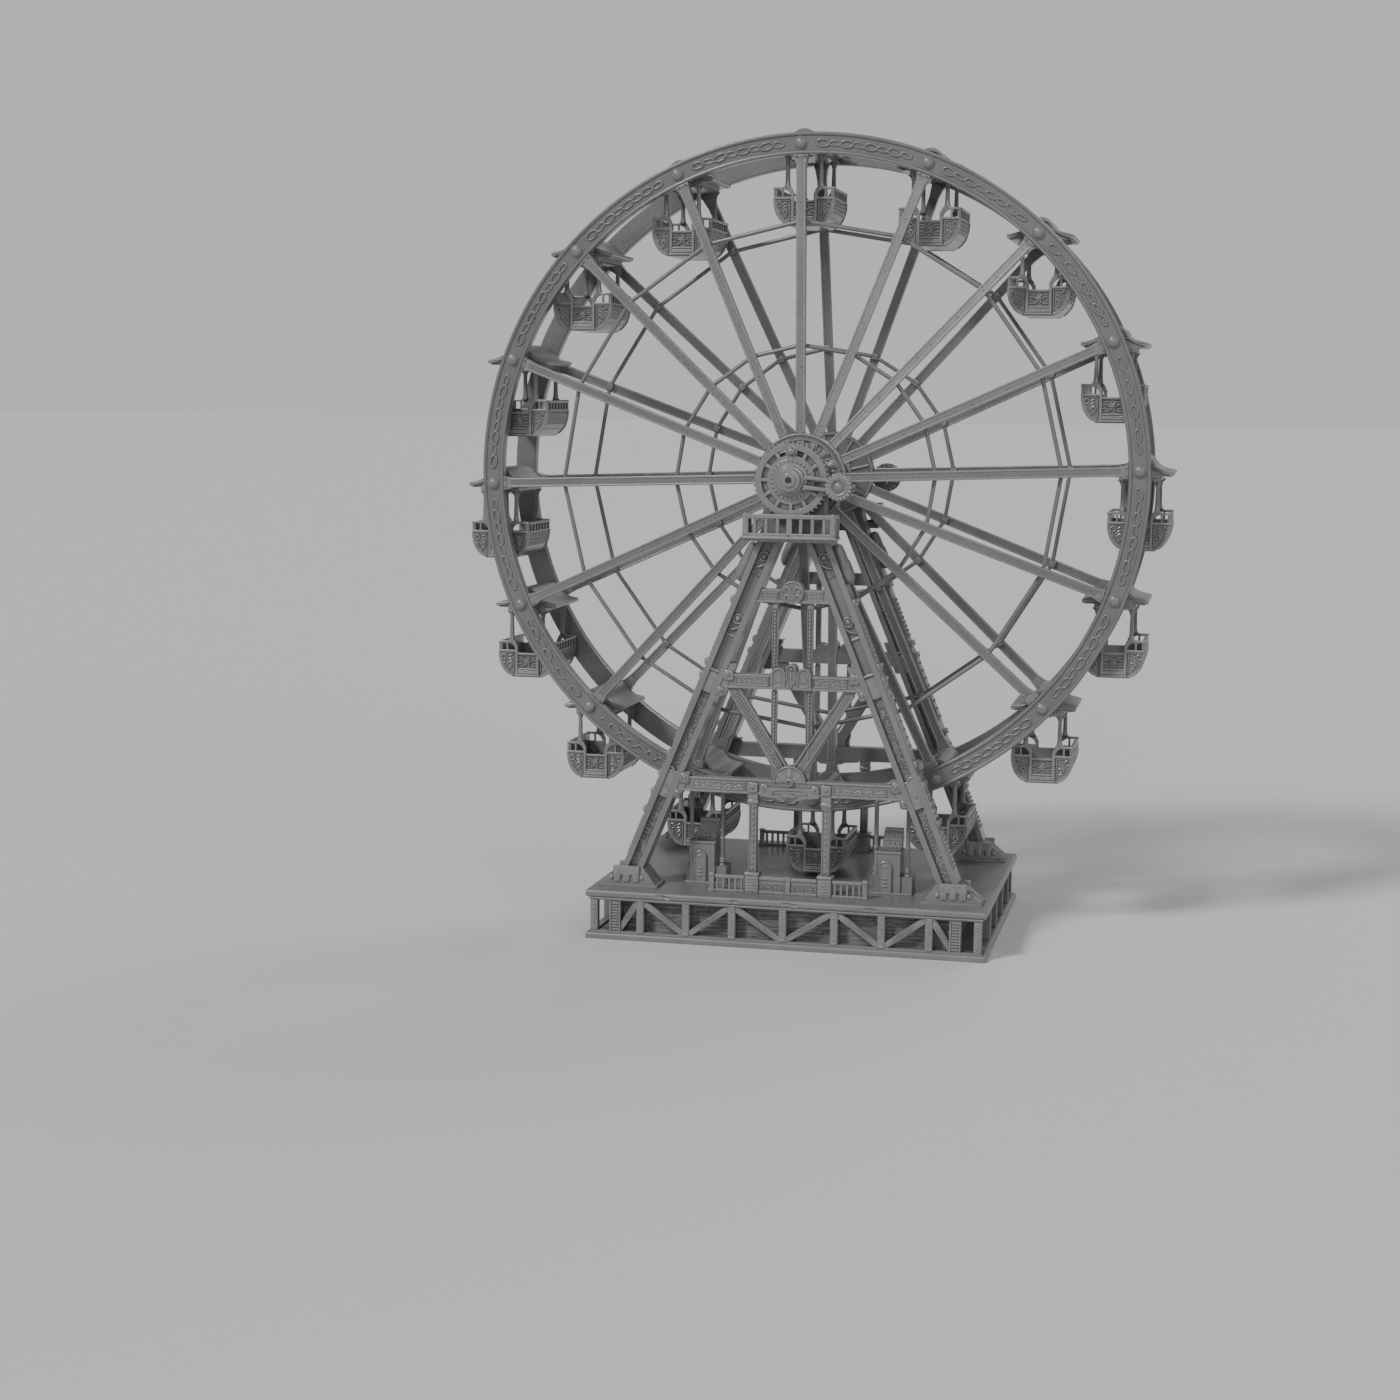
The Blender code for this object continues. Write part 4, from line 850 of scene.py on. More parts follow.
def add_column(form, x, base):
    """Pedestal with uneven grooves, shaft with edge bars and beads, and a stacked capital."""
    y = COLUMN_Y
    top = LOW_BEAM_Z[0] - 0.001
    shaft = (base + 0.5, top - 0.2)
    for half, z, bevel in ((0.19, (base, base + 0.46), 0.03), (0.205, (base + 0.45, base + 0.54), 0.03),
                           (0.095, shaft, 0.015), (0.125, (top - 0.34, top - 0.27), 0.025),
                           (0.155, (top - 0.275, top - 0.145), 0.04), (0.145, (top - 0.155, top), 0.03)):
        form.pillar(x, y, half, z, bevel)
    for index in range(5):
        z = base + 0.08 + 0.075 * index
        form.tube([(x - 0.14, y - 0.190, z + rng.uniform(-0.006, 0.006)), (x, y - 0.192, z),
                   (x + 0.14, y - 0.190, z + rng.uniform(-0.006, 0.006))], [0.010, 0.017, 0.012], 6)
    for edge in around(x, 0.085):
        form.block(around(edge, 0.022), around(y, 0.115), shaft, 0.012)
    for z in stops(base + 0.62, top - 0.36, 12):
        for side in around(y, 0.095):
            form.bead(x, side, z, 0.036)


def make_railing():
    form = Form()
    y = RAIL_Y
    base = DECK_TOP + 0.001
    for sign in SIDES:
        for half, z, bevel in ((0.065, (base, RAIL_TOP - 0.08), 0.015),
                               (0.08, (RAIL_TOP - 0.09, RAIL_TOP), 0.025),
                               (0.09, (base, base + 0.05), 0.015)):
            form.pillar(sign * RAIL_END_X, y, half, z, bevel)
        add_column(form, sign * COLUMN_X, base)
    form.pillar(0.0, y, 0.065, (base, RAIL_TOP - 0.02), 0.015)
    infill = (base + 0.04, RAIL_TOP - 0.10)
    for sign in SIDES:
        for near, far in ((0.05, 0.77), (1.15, 1.96)):
            x = on_side(sign, near, far)
            form.block(x, around(y, 0.045), (RAIL_TOP - 0.13, RAIL_TOP - 0.04), 0.02)
            form.block(x, around(y, 0.05), (base, base + 0.06), 0.015)
        for place in cells(1.15, 1.96, 5):
            form.block(around(sign * place, 0.034), around(y, 0.030), infill, 0.012)
        form.block(on_side(sign, 0.05, 0.77), (y - 0.012, y + 0.03), infill, 0.005)
        for place in cells(0.05, 0.77, 3):
            for mirror in SIDES:
                add_half_palmette(form, sign * place, base + 0.19, 0.20, y - 0.02, mirror)
    make_pair(form, "railing_built", "root", "structure_paint", "railing")


# Hub

def toothed(teeth, turn, centre, flank):
    """Outline of even teeth; flank is half a tooth from its root, as radii and shares of a step."""
    step = 2.0 * math.pi / teeth
    sides = [(radius, -share) for radius, share in flank] + list(flank[::-1])
    return [polar(radius, middle + step * share, centre)
            for middle in turns(teeth, turn) for radius, share in sides]


def gear_outline(teeth, turn, centre):
    """Teeth with rounded flanks on the pitch circle."""
    pitch_r = MODULE * teeth / 2.0
    tip_r = pitch_r + 0.75 * MODULE
    root_r = pitch_r - 1.10 * MODULE
    flank = ((root_r, 0.30), (pitch_r, 0.232), (tip_r - 0.008, 0.165), (tip_r, 0.12))
    return toothed(teeth, turn, centre, flank)


def ring_band(form, inner, outline, y_back, y_front, centre, bevel=0.010):
    """Flat ring between a star-shaped outline and a round hole."""
    hole = []
    small = []
    for x, z in outline:
        turn = math.atan2(z - centre[1], x - centre[0])
        hole.append(polar(inner, turn, centre))
        small.append(polar(math.hypot(x - centre[0], z - centre[1]) - bevel, turn, centre))
    levels = ((hole, y_back), (small, y_back), (outline, y_back - bevel),
              (outline, y_front + bevel), (small, y_front), (hole, y_front))
    form.loft([[(x, y, z) for x, z in points] for points, y in levels], closed=True)


def make_drive_gears():
    form = Form()
    face = GEAR_FACE_Y
    ring_band(form, 0.77, gear_outline(GEAR_TEETH, PINION_ANGLE, HUB), GEAR_BACK_Y, face, HUB)
    form.lathe([(0.255, GEAR_DEPTH), (0.62, GEAR_DEPTH), (0.62, 0.010), (0.605, -0.006), (0.255, -0.006)],
               96, HUB, closed=True, y=face)
    # shroud over the roots of the teeth, clear of the pinion behind it
    form.lathe([(0.755, 0.06), (0.890, 0.06), (0.890, -0.0005), (0.922, -0.0005), (0.922, -0.012),
                (0.912, -0.022), (0.772, -0.022), (0.755, -0.006)], 96, HUB, closed=True, y=face)
    wall = [polar(0.61, math.radians(angle)) for angle in (120, 105, 90)]
    wall += [polar(0.78, math.radians(angle)) for angle in (90, 98, 105, 112, 120)]
    for index, turn in enumerate(turns(GEAR_WINDOWS)):
        form.place = outward(turn)
        form.block((-0.050, 0.050), (face - 0.006, GEAR_BACK_Y), (0.60, 0.775), 0.015)
        if index not in (0, GEAR_WINDOWS - 1):
            form.prism(wall, GEAR_BACK_Y - 0.002, GEAR_BACK_Y - 0.10, 0.004)
    form.place = HOME
    # rib and dome bolt above the boss
    form.block((-0.050, 0.050), (face - 0.030, face + 0.02), (HUB_Z + 0.50, HUB_Z + 0.70), 0.02)
    bolt = (0.0, HUB_Z + 0.72)
    form.lathe([(0.115, 0.01), (0.155, 0.01), (0.150, -0.02), (0.115, -0.028)], 28, bolt, closed=True, y=face)
    form.dome(*bolt, face - 0.01, 0.125, 0.10, 28)
    # toothed ring round the boss
    form.lathe([(0.38, 0.02), (0.535, 0.02), (0.535, -0.010), (0.520, -0.022), (0.38, -0.022)],
               72, HUB, closed=True, y=face)
    for turn in turns(INNER_TEETH):
        form.place = outward(turn)
        form.block((-0.036, 0.036), (face - 0.050, face), (0.40, 0.515), 0.014)
    form.place = HOME
    form.lathe([(0.38, 0.0), (0.462, 0.0), (0.462, -0.040), (0.450, -0.056), (0.38, -0.056)],
               72, HUB, closed=True, y=face)
    make_pair(form, "drive_gear_toothed", "wheel", "machinery_metal", "drive_gear")


def make_pinions():
    form = Form()
    gap_turn = PINION_ANGLE + math.pi + math.pi / PINION_TEETH
    ring_band(form, 0.24, gear_outline(PINION_TEETH, gap_turn, PINION), GEAR_BACK_Y, GEAR_FACE_Y, PINION)
    form.lathe([(0.081, GEAR_DEPTH), (0.245, GEAR_DEPTH), (0.245, 0.03), (0.22, 0.005), (0.081, 0.005)],
               40, PINION, closed=True, y=GEAR_FACE_Y)
    form.lathe([(0.245, 0.02), (0.275, 0.02), (0.275, -0.010), (0.262, -0.018), (0.245, -0.010)],
               40, PINION, closed=True, y=GEAR_FACE_Y)
    make_pair(form, "pinion_toothed", "front_pinion", "machinery_metal", "pinion")


def make_pinion_crown():
    """Toothed crown on the front pinion's shaft, outside the arm."""
    form = Form()
    back = ARM_FACE_Y - 0.058
    outline = toothed(CROWN_TEETH, 0.0, PINION, ((0.282, 0.41), (0.334, 0.37), (0.346, 0.31)))
    ring_band(form, 0.17, outline, back, back - 0.062, PINION, 0.014)
    form.lathe([(0.175, -0.01), (0.235, -0.01), (0.235, -0.066), (0.225, -0.078), (0.195, -0.078),
                (0.175, -0.055)], 48, PINION, closed=True, y=back)
    shaft_end = GEAR_BACK_Y - 0.01 - back
    form.lathe([(0.001, shaft_end), (0.078, shaft_end), (0.078, -0.004), (0.19, -0.004), (0.19, -0.036),
                (0.135, -0.036), (0.125, -0.050), (0.115, -0.050), (0.001, -0.052)], 40, PINION, y=back)
    form.dome(*PINION, back - 0.040, 0.105, 0.040, 28)
    make_piece(form, "front_pinion_crown", "front_pinion", "machinery_metal")


def make_gear_arms():
    form = Form()
    face = ARM_FACE_Y
    # stepped boss, slightly egg-shaped towards the pinion
    for radius, y_back, y_front, bulge in ((0.400, -3.87, face + 0.05, 0.20),
                                           (0.352, -3.95, face - 0.01, 0.08),
                                           (0.296, -4.00, face - 0.05, 0.04)):
        outline = []
        for turn in turns(48, 0.0):
            swell = 1.0 + bulge * max(0.0, math.cos(turn - math.radians(28.0))) ** 3
            outline.append(polar(radius * swell, turn, HUB))
        ring_band(form, 0.262, outline, y_back, y_front, HUB, 0.02)
    bar = ((0.33, 0.098), (0.42, 0.072), (0.60, 0.062), (0.92, 0.062), (1.06, 0.070), (1.13, 0.080))
    along = Vector(polar(1.0, PINION_ANGLE))
    aside = Vector((-along.y, along.x))
    for sign in SIDES:
        near = []
        far = []
        for reach, width in bar:
            middle = Vector(HUB) + along * reach + aside * (0.13 - 0.010 * reach) * sign
            near.append(tuple(middle + aside * width))
            far.append(tuple(middle - aside * width))
        form.prism(near + far[::-1], -3.875, face + 0.01, 0.035)
    form.lathe([(0.0815, -3.88 - face), (0.195, -3.88 - face), (0.195, 0.01), (0.182, -0.008),
                (0.158, -0.008), (0.145, 0.025), (0.0815, 0.03)], 40, PINION, closed=True, y=face)
    make_pair(form, "gear_arm_cast", "root", "machinery_metal", "gear_arm")


def make_axle():
    form = Form()
    end = ((0.25, 2.30), (0.25, 4.119), (0.283, 4.121), (0.289, 4.128), (0.286, 4.150), (0.274, 4.158),
           (0.190, 4.162), (0.178, 4.168), (0.173, 4.190), (0.160, 4.20), (0.10, 4.20), (0.082, 4.19),
           (0.072, 4.16), (0.072, 4.06), (0.001, 4.06))
    for sign in SIDES:
        form.lathe([(radius, sign * y) for radius, y in end], 40, HUB)
    half = [(0.30, 2.31), (0.46, 2.31), (0.46, 2.20), (0.43, 2.16), (0.43, 1.0), (0.47, 0.96), (0.47, 0.80),
            (0.43, 0.76)]
    form.lathe([(radius, -y) for radius, y in half] + half[::-1], 48, HUB)
    for y in (-1.6, -0.3, 0.3, 1.6):
        for turn in turns(12):
            form.place = outward(turn)
            form.block((-0.03, 0.03), around(y, 0.05), (0.42, 0.455), 0.012)
    make_piece(form, "hub_axle_turned", "wheel", "machinery_metal", ["hub_axle"])


def make_hub_flanges():
    form = Form()
    y = -2.42
    form.lathe([(1.165, 0.06), (1.165, -0.045), (1.15, -0.06), (1.11, -0.06), (1.095, -0.03), (1.055, -0.03),
                (1.04, -0.055), (0.985, -0.055), (0.97, -0.02), (0.97, 0.01)], 96, HUB, closed=True, y=y)
    for turn in GONDOLA_TURNS:
        between = turn + math.pi / GONDOLAS
        form.place = HOME
        form.dome(*polar(1.075, between, HUB), y - 0.03, 0.034, 0.03, 10)
        form.place = outward(turn)
        form.block((-0.11, 0.11), (y - 0.045, y + 0.02), (0.66, 0.98), 0.02)
        form.block((-0.055, 0.055), (y - 0.085, y - 0.03), (0.70, 0.93), 0.02)
        form.dome(0.0, 0.60, y - 0.01, 0.045, 0.04, 10)
        form.place = outward(between)
        form.block((-0.045, 0.045), (y - 0.03, y + 0.02), (0.50, 0.90), 0.015)
        form.block((-0.040, 0.040), (y + 0.10, y + 0.155), (0.50, 1.06), 0.02)
    form.place = HOME
    for profile, segments in (
            ([(1.165, 0.10), (1.165, 0.14), (1.15, 0.16), (1.07, 0.16), (1.055, 0.14), (1.055, 0.10)], 96),
            ([(0.44, 0.10), (0.56, 0.10), (0.56, 0.16), (0.54, 0.18), (0.44, 0.18)], 48),
            ([(0.26, 0.005), (0.50, 0.005), (0.50, -0.10), (0.47, -0.13), (0.26, -0.13)], 48)):
        form.lathe(profile, segments, HUB, closed=True, y=y)
    make_pair(form, "hub_flange", "wheel", "machinery_metal")


def make_head_ornament():
    form = Form()
    y = LEG_FRONT_Y
    form.trace(arc(*HUB, 0.74, -10, 190, 30), y - 0.01, 0.035, 8)
    for x, z in arc(*HUB, 0.63, -5, 185, 12):
        form.dome(x, z, y + 0.005, 0.04, 0.035, 10)
    form.lathe([(0.452, 0.01), (0.52, 0.01), (0.52, -0.05), (0.50, -0.07), (0.452, -0.07)], 48, HUB,
               closed=True, y=y)
    make_pair(form, "head_ornament", "root", "machinery_metal")


def make_balconies():
    form = Form()
    half = 1.19
    front, back = -4.02, -3.381
    low, high = 10.52, 11.19
    # floor, its lip and its underside, top rail and bottom rail
    for out, y, z, bevel in ((0.0, (front, back), (low + 0.02, low + 0.13), 0.02),
                             (0.035, (front - 0.035, back), (low + 0.045, low + 0.105), 0.025),
                             (-0.03, (front + 0.03, back), (low - 0.02, low + 0.03), 0.02),
                             (0.0, (front, front + 0.11), (high - 0.11, high), 0.025),
                             (0.0, (front + 0.005, front + 0.105), (low + 0.12, low + 0.19), 0.02)):
        form.block((-half - out, half + out), y, z, bevel)
    # corner post, side rail, wall post, side panel and the panel's two ribs, by distance from the end
    panel = (front + 0.12, back - 0.12)
    for near, far, y, z, bevel in (
            (0.15, -0.005, (front - 0.005, front + 0.115), (low + 0.09, high + 0.015), 0.025),
            (0.11, 0.0, (front + 0.05, back), (high - 0.10, high - 0.005), 0.02),
            (0.11, 0.0, (back - 0.11, back), (low + 0.05, high - 0.01), 0.02),
            (0.085, 0.03, (front + 0.05, back - 0.02), (low + 0.10, high - 0.06), 0.01),
            (0.04, 0.012, panel, around(low + 0.16, 0.015), 0.008),
            (0.04, 0.012, panel, around(high - 0.14, 0.015), 0.008)):
        for sign in SIDES:
            form.block(on_side(sign, half - near, half - far), y, z, bevel)
    for index, x in enumerate(stops(-half, half, 9)[1:-1]):
        wide = 0.075 if index == 3 else 0.045
        form.block(around(x, wide), (front + 0.02, front + 0.085), (low + 0.15, high - 0.08), 0.015)
    form.bead(-0.02, front - 0.012, low + 0.155, 0.028)
    make_pair(form, "balcony_built", "root", "structure_paint", "balcony")


def make_motor():
    form = Form()
    y = 4.09
    form.lathe([(0.30, 0.0), (0.36, 0.02), (0.40, 0.02), (0.40, 0.10), (0.36, 0.10), (0.35, 0.18),
                (0.35, 0.56), (0.345, 0.62), (0.31, 0.69), (0.24, 0.735), (0.12, 0.75), (0.001, 0.75)], 40,
               PINION, y=y)
    for turn in turns(8):
        form.dome(*polar(0.365, turn, PINION), y + 0.10, 0.028, 0.025, 8, toward=1.0)
    for turn in turns(20):
        form.place = outward(turn, PINION)
        form.block((-0.014, 0.014), (y + 0.12, y + 0.54), (0.335, 0.385), 0.006)
    make_piece(form, "drive_motor_finned", "root", "machinery_metal", ["drive_motor"])


# Wheel

def make_rims():
    form = Form()
    edge = ((0.0, 0.03), (0.012, 0.008), (0.035, 0.0), (0.065, 0.003), (0.088, 0.018),
            (0.10, RIM_WEB_Y - RIM_FACE_Y))
    profile = [(RIM_IN_R + step, RIM_FACE_Y + depth) for step, depth in edge]
    profile += [(RIM_OUT_R - step, RIM_FACE_Y + depth) for step, depth in edge[::-1]]
    profile += [(RIM_OUT_R, RIM_BACK_Y - 0.03), (RIM_OUT_R - 0.02, RIM_BACK_Y),
                (RIM_IN_R + 0.02, RIM_BACK_Y), (RIM_IN_R, RIM_BACK_Y - 0.03)]
    form.lathe(profile, 192, HUB, closed=True)
    make_pair(form, "rim_rolled", "wheel", "wheel_paint", "rim")


def make_rim_chains():
    """Uneven oval links in the rims' recess, large and small by turns, between one boss and the next."""
    form = Form()
    margin = 0.050
    span = 2.0 * math.pi / GONDOLAS - 2.0 * margin
    for start in GONDOLA_TURNS:
        for number, turn in enumerate(cells(start - margin, start - margin - span, CHAIN_LINKS)):
            small = number % 2
            reach = rng.uniform(0.135, 0.155) if small else rng.uniform(0.155, 0.178)
            high = rng.uniform(0.058, 0.070) if small else rng.uniform(0.074, 0.090)
            tilt = math.radians(rng.uniform(-9.0, 9.0))
            link_place = Matrix.Translation((0.0, 0.0, PIVOT_R)) @ Matrix.Rotation(tilt, 4, "Y")
            form.place = outward(turn) @ link_place
            link = [(reach * math.cos(step), high * math.sin(step)) for step in turns(18, 0.0)]
            form.trace(link, RIM_WEB_Y - (0.002 if small else 0.010), rng.uniform(0.029, 0.036), 8,
                       closed=True)
    make_pair(form, "rim_chain", "wheel", "wheel_paint")


def make_spoke_ornament():
    form = Form()
    hub_y, rim_y = -2.3675, -1.495
    near, far = 1.17, RIM_IN_R - 0.10
    bar = ((-0.026, -0.02), (0.026, -0.02), (0.026, 0.010), (0.014, 0.020), (-0.014, 0.020), (-0.026, 0.010))
    for turn in GONDOLA_TURNS:
        form.place = outward(turn)
        for side in SIDES:
            for edge in (-0.095, 0.095):
                form.loft([[(edge + x, y + side * (half + rise), radius) for x, rise in bar]
                           for radius, y, half in ((near + 0.02, hub_y, 0.065), (far, rim_y, 0.10))])
        for step in range(15):
            share = (step + 0.6) / 15.0
            face = hub_y - 0.065 + (rim_y - 0.10 - hub_y + 0.065) * share
            form.bead(0.0, face, near + (far - near) * share, 0.020 if step % 3 else 0.028)
        # foot plate at the rim, with bolts
        form.block((-0.19, 0.19), around(rim_y, 0.14), (RIM_IN_R - 0.075, RIM_IN_R - 0.002), 0.02)
        form.loft([[(-x, rim_y - y, z), (x, rim_y - y, z), (x, rim_y + y, z), (-x, rim_y + y, z)]
                   for x, y, z in ((0.125, 0.105, far - 0.25), (0.17, 0.125, RIM_IN_R - 0.05))])
        for x in (-0.10, 0.10):
            form.bead(x, rim_y - 0.15, RIM_IN_R - 0.04, 0.028)
    make_pair(form, "spoke_ornament", "wheel", "wheel_paint")


def make_brace_rings():
    for label, radius in RING_RS.items():
        low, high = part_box("front_brace_ring_" + label)
        y = (low.y + high.y) / 2.0
        form = Form()
        corners = [polar(radius, turn, HUB) for turn in GONDOLA_TURNS]
        for (x0, z0), (x1, z1) in zip(corners, corners[1:] + corners[:1]):
            form.trace(list(zip(stops(x0, x1, 5), stops(z0, z1, 5))), y, 0.056, 12)
        for turn in GONDOLA_TURNS:
            form.place = outward(turn)
            form.block((-0.10, 0.10), (y - 0.055, y + 0.075), around(radius, 0.085), 0.03)
            for x in (-0.06, 0.06):
                form.bead(x, y + 0.075, radius, 0.022)
        make_pair(form, "brace_ring_%s_round" % label, "wheel", "wheel_paint", "brace_ring_" + label)


# Gondolas, round a pivot at the origin

def tub_half_width(height):
    """Half width of the tub's side at a height above the floor."""
    for (x0, h0), (x1, h1) in zip(TUB_CURVE[:-1], TUB_CURVE[1:]):
        if h0 <= height <= h1:
            return x0 + (x1 - x0) * (height - h0) / (h1 - h0)
    return TUB_CURVE[-1][0]


def add_tub_side(form, sign):
    """Curved side wall with its bench inside, and rails, balusters, studs and ribs outside."""
    z = FLOOR
    ends = (-TUB_HALF, TUB_HALF)
    outer = [(x, h) for x, h in TUB_CURVE]
    inner = [(x - 0.055, h + (0.05 if h < 0.3 else 0.0)) for x, h in TUB_CURVE]
    form.loft([[(sign * x, y, z + h) for x, h in outer + inner[::-1]] for y in ends])
    # bench board, bench front, top rail and middle rail
    for near, far, end, low, high, bevel in ((0.37, 0.74, 0.03, 0.36, 0.40, 0.012),
                                             (0.37, 0.40, 0.03, 0.04, 0.37, 0.008),
                                             (0.745, 0.820, 0.0, 0.905, 0.970, 0.020),
                                             (0.76, 0.812, 0.0, 0.690, 0.730, 0.014)):
        form.block(on_side(sign, near, far), around(0.0, TUB_HALF - end), (z + low, z + high), bevel)
    for slat in range(4):
        x = on_side(sign, 0.36 + 0.095 * slat, 0.44 + 0.095 * slat)
        form.block(x, around(0.0, TUB_HALF - 0.06), (z + 0.39, z + 0.42), 0.012)
    for y in stops(-TUB_HALF + 0.06, TUB_HALF - 0.06, 8):
        form.block(on_side(sign, 0.755, 0.808), around(y, 0.040), (z + 0.725, z + 0.91), 0.014)
    for low, high in ((0.615, 0.665), (0.525, 0.575), (0.435, 0.485), (0.345, 0.395)):
        a = tub_half_width(low) - 0.004
        b = tub_half_width(high) - 0.004
        for middle in stops(-TUB_HALF + 0.09, TUB_HALF - 0.09, 14):
            y = middle + rng.uniform(-0.006, 0.006)
            form.loft([[(sign * x, y + aside, z + h) for x, aside, h in ring] for ring in (
                ((a, -0.045, low), (a, 0.045, low), (b, 0.045, high), (b, -0.045, high)),
                ((a + 0.030, -0.034, low + 0.004), (a + 0.030, 0.034, low + 0.004),
                 (b + 0.026, 0.034, high - 0.010), (b + 0.026, -0.034, high - 0.010)))])
    for height in (0.595, 0.50, 0.41, 0.325, 0.20):
        x = sign * (tub_half_width(height) + 0.002)
        form.tube([(x, y, z + height) for y in (-TUB_HALF, 0.0, TUB_HALF)], 0.014, 6)
    for y in ends:
        form.trace([(sign * (x + 0.004), z + h) for x, h in TUB_CURVE[1:7]], y, 0.024)


def add_floor_boards(form):
    form.block((-0.42, 0.42), (-TUB_HALF, TUB_HALF), (FLOOR, FLOOR + 0.06), 0.02)
    for x in stops(-0.30, 0.30, 5):
        form.block(around(x, 0.065), around(0.0, TUB_HALF - 0.04), (FLOOR + 0.055, FLOOR + 0.072), 0.008)


def add_end_bars(form, mirror):
    """Bars of half of the tub's end: edge bar, rails, uprights, rounded shoulder and gate post."""
    y = TUB_END_Y
    z = FLOOR
    edge = ((-0.78, 0.70), (-0.775, 0.56), (-0.74, 0.41), (-0.665, 0.255), (-0.53, 0.115), (-0.385, 0.02))
    form.prism(strip_outline([(mirror * x, z + h) for x, h in edge], 0.075), y + 0.06, y, 0.016)
    for near, far, front, back, low, high, bevel in ((0.29, 0.80, -0.012, 0.07, 0.675, 0.735, 0.016),
                                                     (0.745, 0.80, 0.0, 0.07, 0.70, 0.97, 0.014),
                                                     (0.535, 0.59, -0.004, 0.066, 0.70, 0.955, 0.014),
                                                     (0.49, 0.81, -0.012, 0.075, 0.925, 0.985, 0.018),
                                                     (0.255, 0.345, -0.016, 0.06, 0.07, 0.86, 0.022)):
        form.block(on_side(mirror, near, far), (y + front, y + back), (z + low, z + high), bevel)
    shoulder = ((0.545, 1.0), (0.50, 1.03), (0.43, 1.045), (0.36, 1.01), (0.305, 0.935), (0.275, 0.84),
                (0.262, 0.72), (0.335, 0.72), (0.36, 0.81), (0.42, 0.885), (0.50, 0.925), (0.56, 0.93))
    form.prism([(mirror * x, z + h) for x, h in shoulder], y + 0.065, y - 0.008, 0.014)


def add_quarter_panel(form, mirror):
    """Panel beside the gate: a border, a ring at the outer top, one at the inner bottom, and five leaves."""
    y = TUB_END_Y
    z = FLOOR
    for x, height, radius in ((0.655, 0.545, 0.064), (0.480, 0.345, 0.052)):
        form.trace(arc(mirror * x, z + height, radius, 0, 330, 11), y + 0.030, 0.024, closed=True)
        form.dome(mirror * x, z + height, y + 0.045, 0.026, 0.025, 8)
    for leaf in (((0.425, 0.595), (0.475, 0.595), (0.525, 0.560), (0.560, 0.500)),
                 ((0.425, 0.500), (0.480, 0.505), (0.545, 0.470), (0.600, 0.400)),
                 ((0.425, 0.440), (0.475, 0.435), (0.545, 0.385), (0.590, 0.310)),
                 ((0.655, 0.450), (0.665, 0.415), (0.650, 0.380), (0.620, 0.350)),
                 ((0.430, 0.245), (0.470, 0.235), (0.510, 0.245), (0.545, 0.270))):
        form.trace([(mirror * x, z + h) for x, h in leaf], y + 0.032, [0.012, 0.026, 0.028, 0.012])
    border = ((0.378, 0.130), (0.378, 0.400), (0.378, 0.648), (0.560, 0.648), (0.742, 0.648),
              (0.732, 0.560), (0.700, 0.430), (0.632, 0.300), (0.520, 0.185))
    for start, end in ((0, 3), (2, 5), (4, 9)):
        edge = [(mirror * x, z + h) for x, h in border[start:end]]
        form.prism(strip_outline(edge, 0.034), y + 0.05, y + 0.012, 0.009)


def add_gate(form):
    """Gate and sill: rails, star and four straight bars on each side of it."""
    y = TUB_END_Y
    z = FLOOR
    for half, front, low, high, bevel in ((0.27, -0.006, 0.60, 0.655, 0.016),
                                          (0.27, -0.002, 0.19, 0.235, 0.014),
                                          (0.34, -0.010, 0.02, 0.070, 0.014),
                                          (0.275, -0.0035, 0.085, 0.135, 0.014),
                                          (0.345, -0.006, 0.135, 0.175, 0.014)):
        form.block((-half, half), (y + front, y + 0.06), (z + low, z + high), bevel)
    star = []
    for index, turn in enumerate(turns(12, 0.0)):
        radius = 0.078 if index % 2 else 0.185
        star.append((radius * math.cos(turn), z + 0.415 + 0.95 * radius * math.sin(turn)))
    form.prism(star, y + 0.05, y, 0.022)
    form.dome(0.0, z + 0.415, y + 0.006, 0.045, 0.03, 10)
    for h, reach in ((0.295, 0.10), (0.365, 0.15), (0.465, 0.15), (0.540, 0.10)):
        for mirror in SIDES:
            form.trace([(mirror * x, z + h) for x in (0.25, 0.20, reach)], y + 0.026, 0.017, 5)


def add_post(form, x):
    """Tapered post with a flared foot, and two small brackets at its head."""
    y = TUB_END_Y + 0.055
    rings = []
    for h, w in ((0.955, 0.052), (0.985, 0.070), (1.03, 0.073), (1.08, 0.063), (1.16, 0.056), (1.60, 0.047),
                 (1.72, 0.052), (1.80, 0.066)):
        b = w * 0.35
        corners = ((b - w, -w), (w - b, -w), (w, b - w), (w, w - b), (w - b, w), (b - w, w), (-w, w - b),
                   (-w, b - w))
        rings.append([(x + along, y + aside, FLOOR + h) for along, aside in corners])
    form.loft(rings)
    bracket = ((0.045, 1.64), (0.055, 1.72), (0.085, 1.77), (0.13, 1.80))
    for side in SIDES:
        form.trace([(x + side * out, FLOOR + h) for out, h in bracket], y, [0.014, 0.024, 0.028, 0.022])


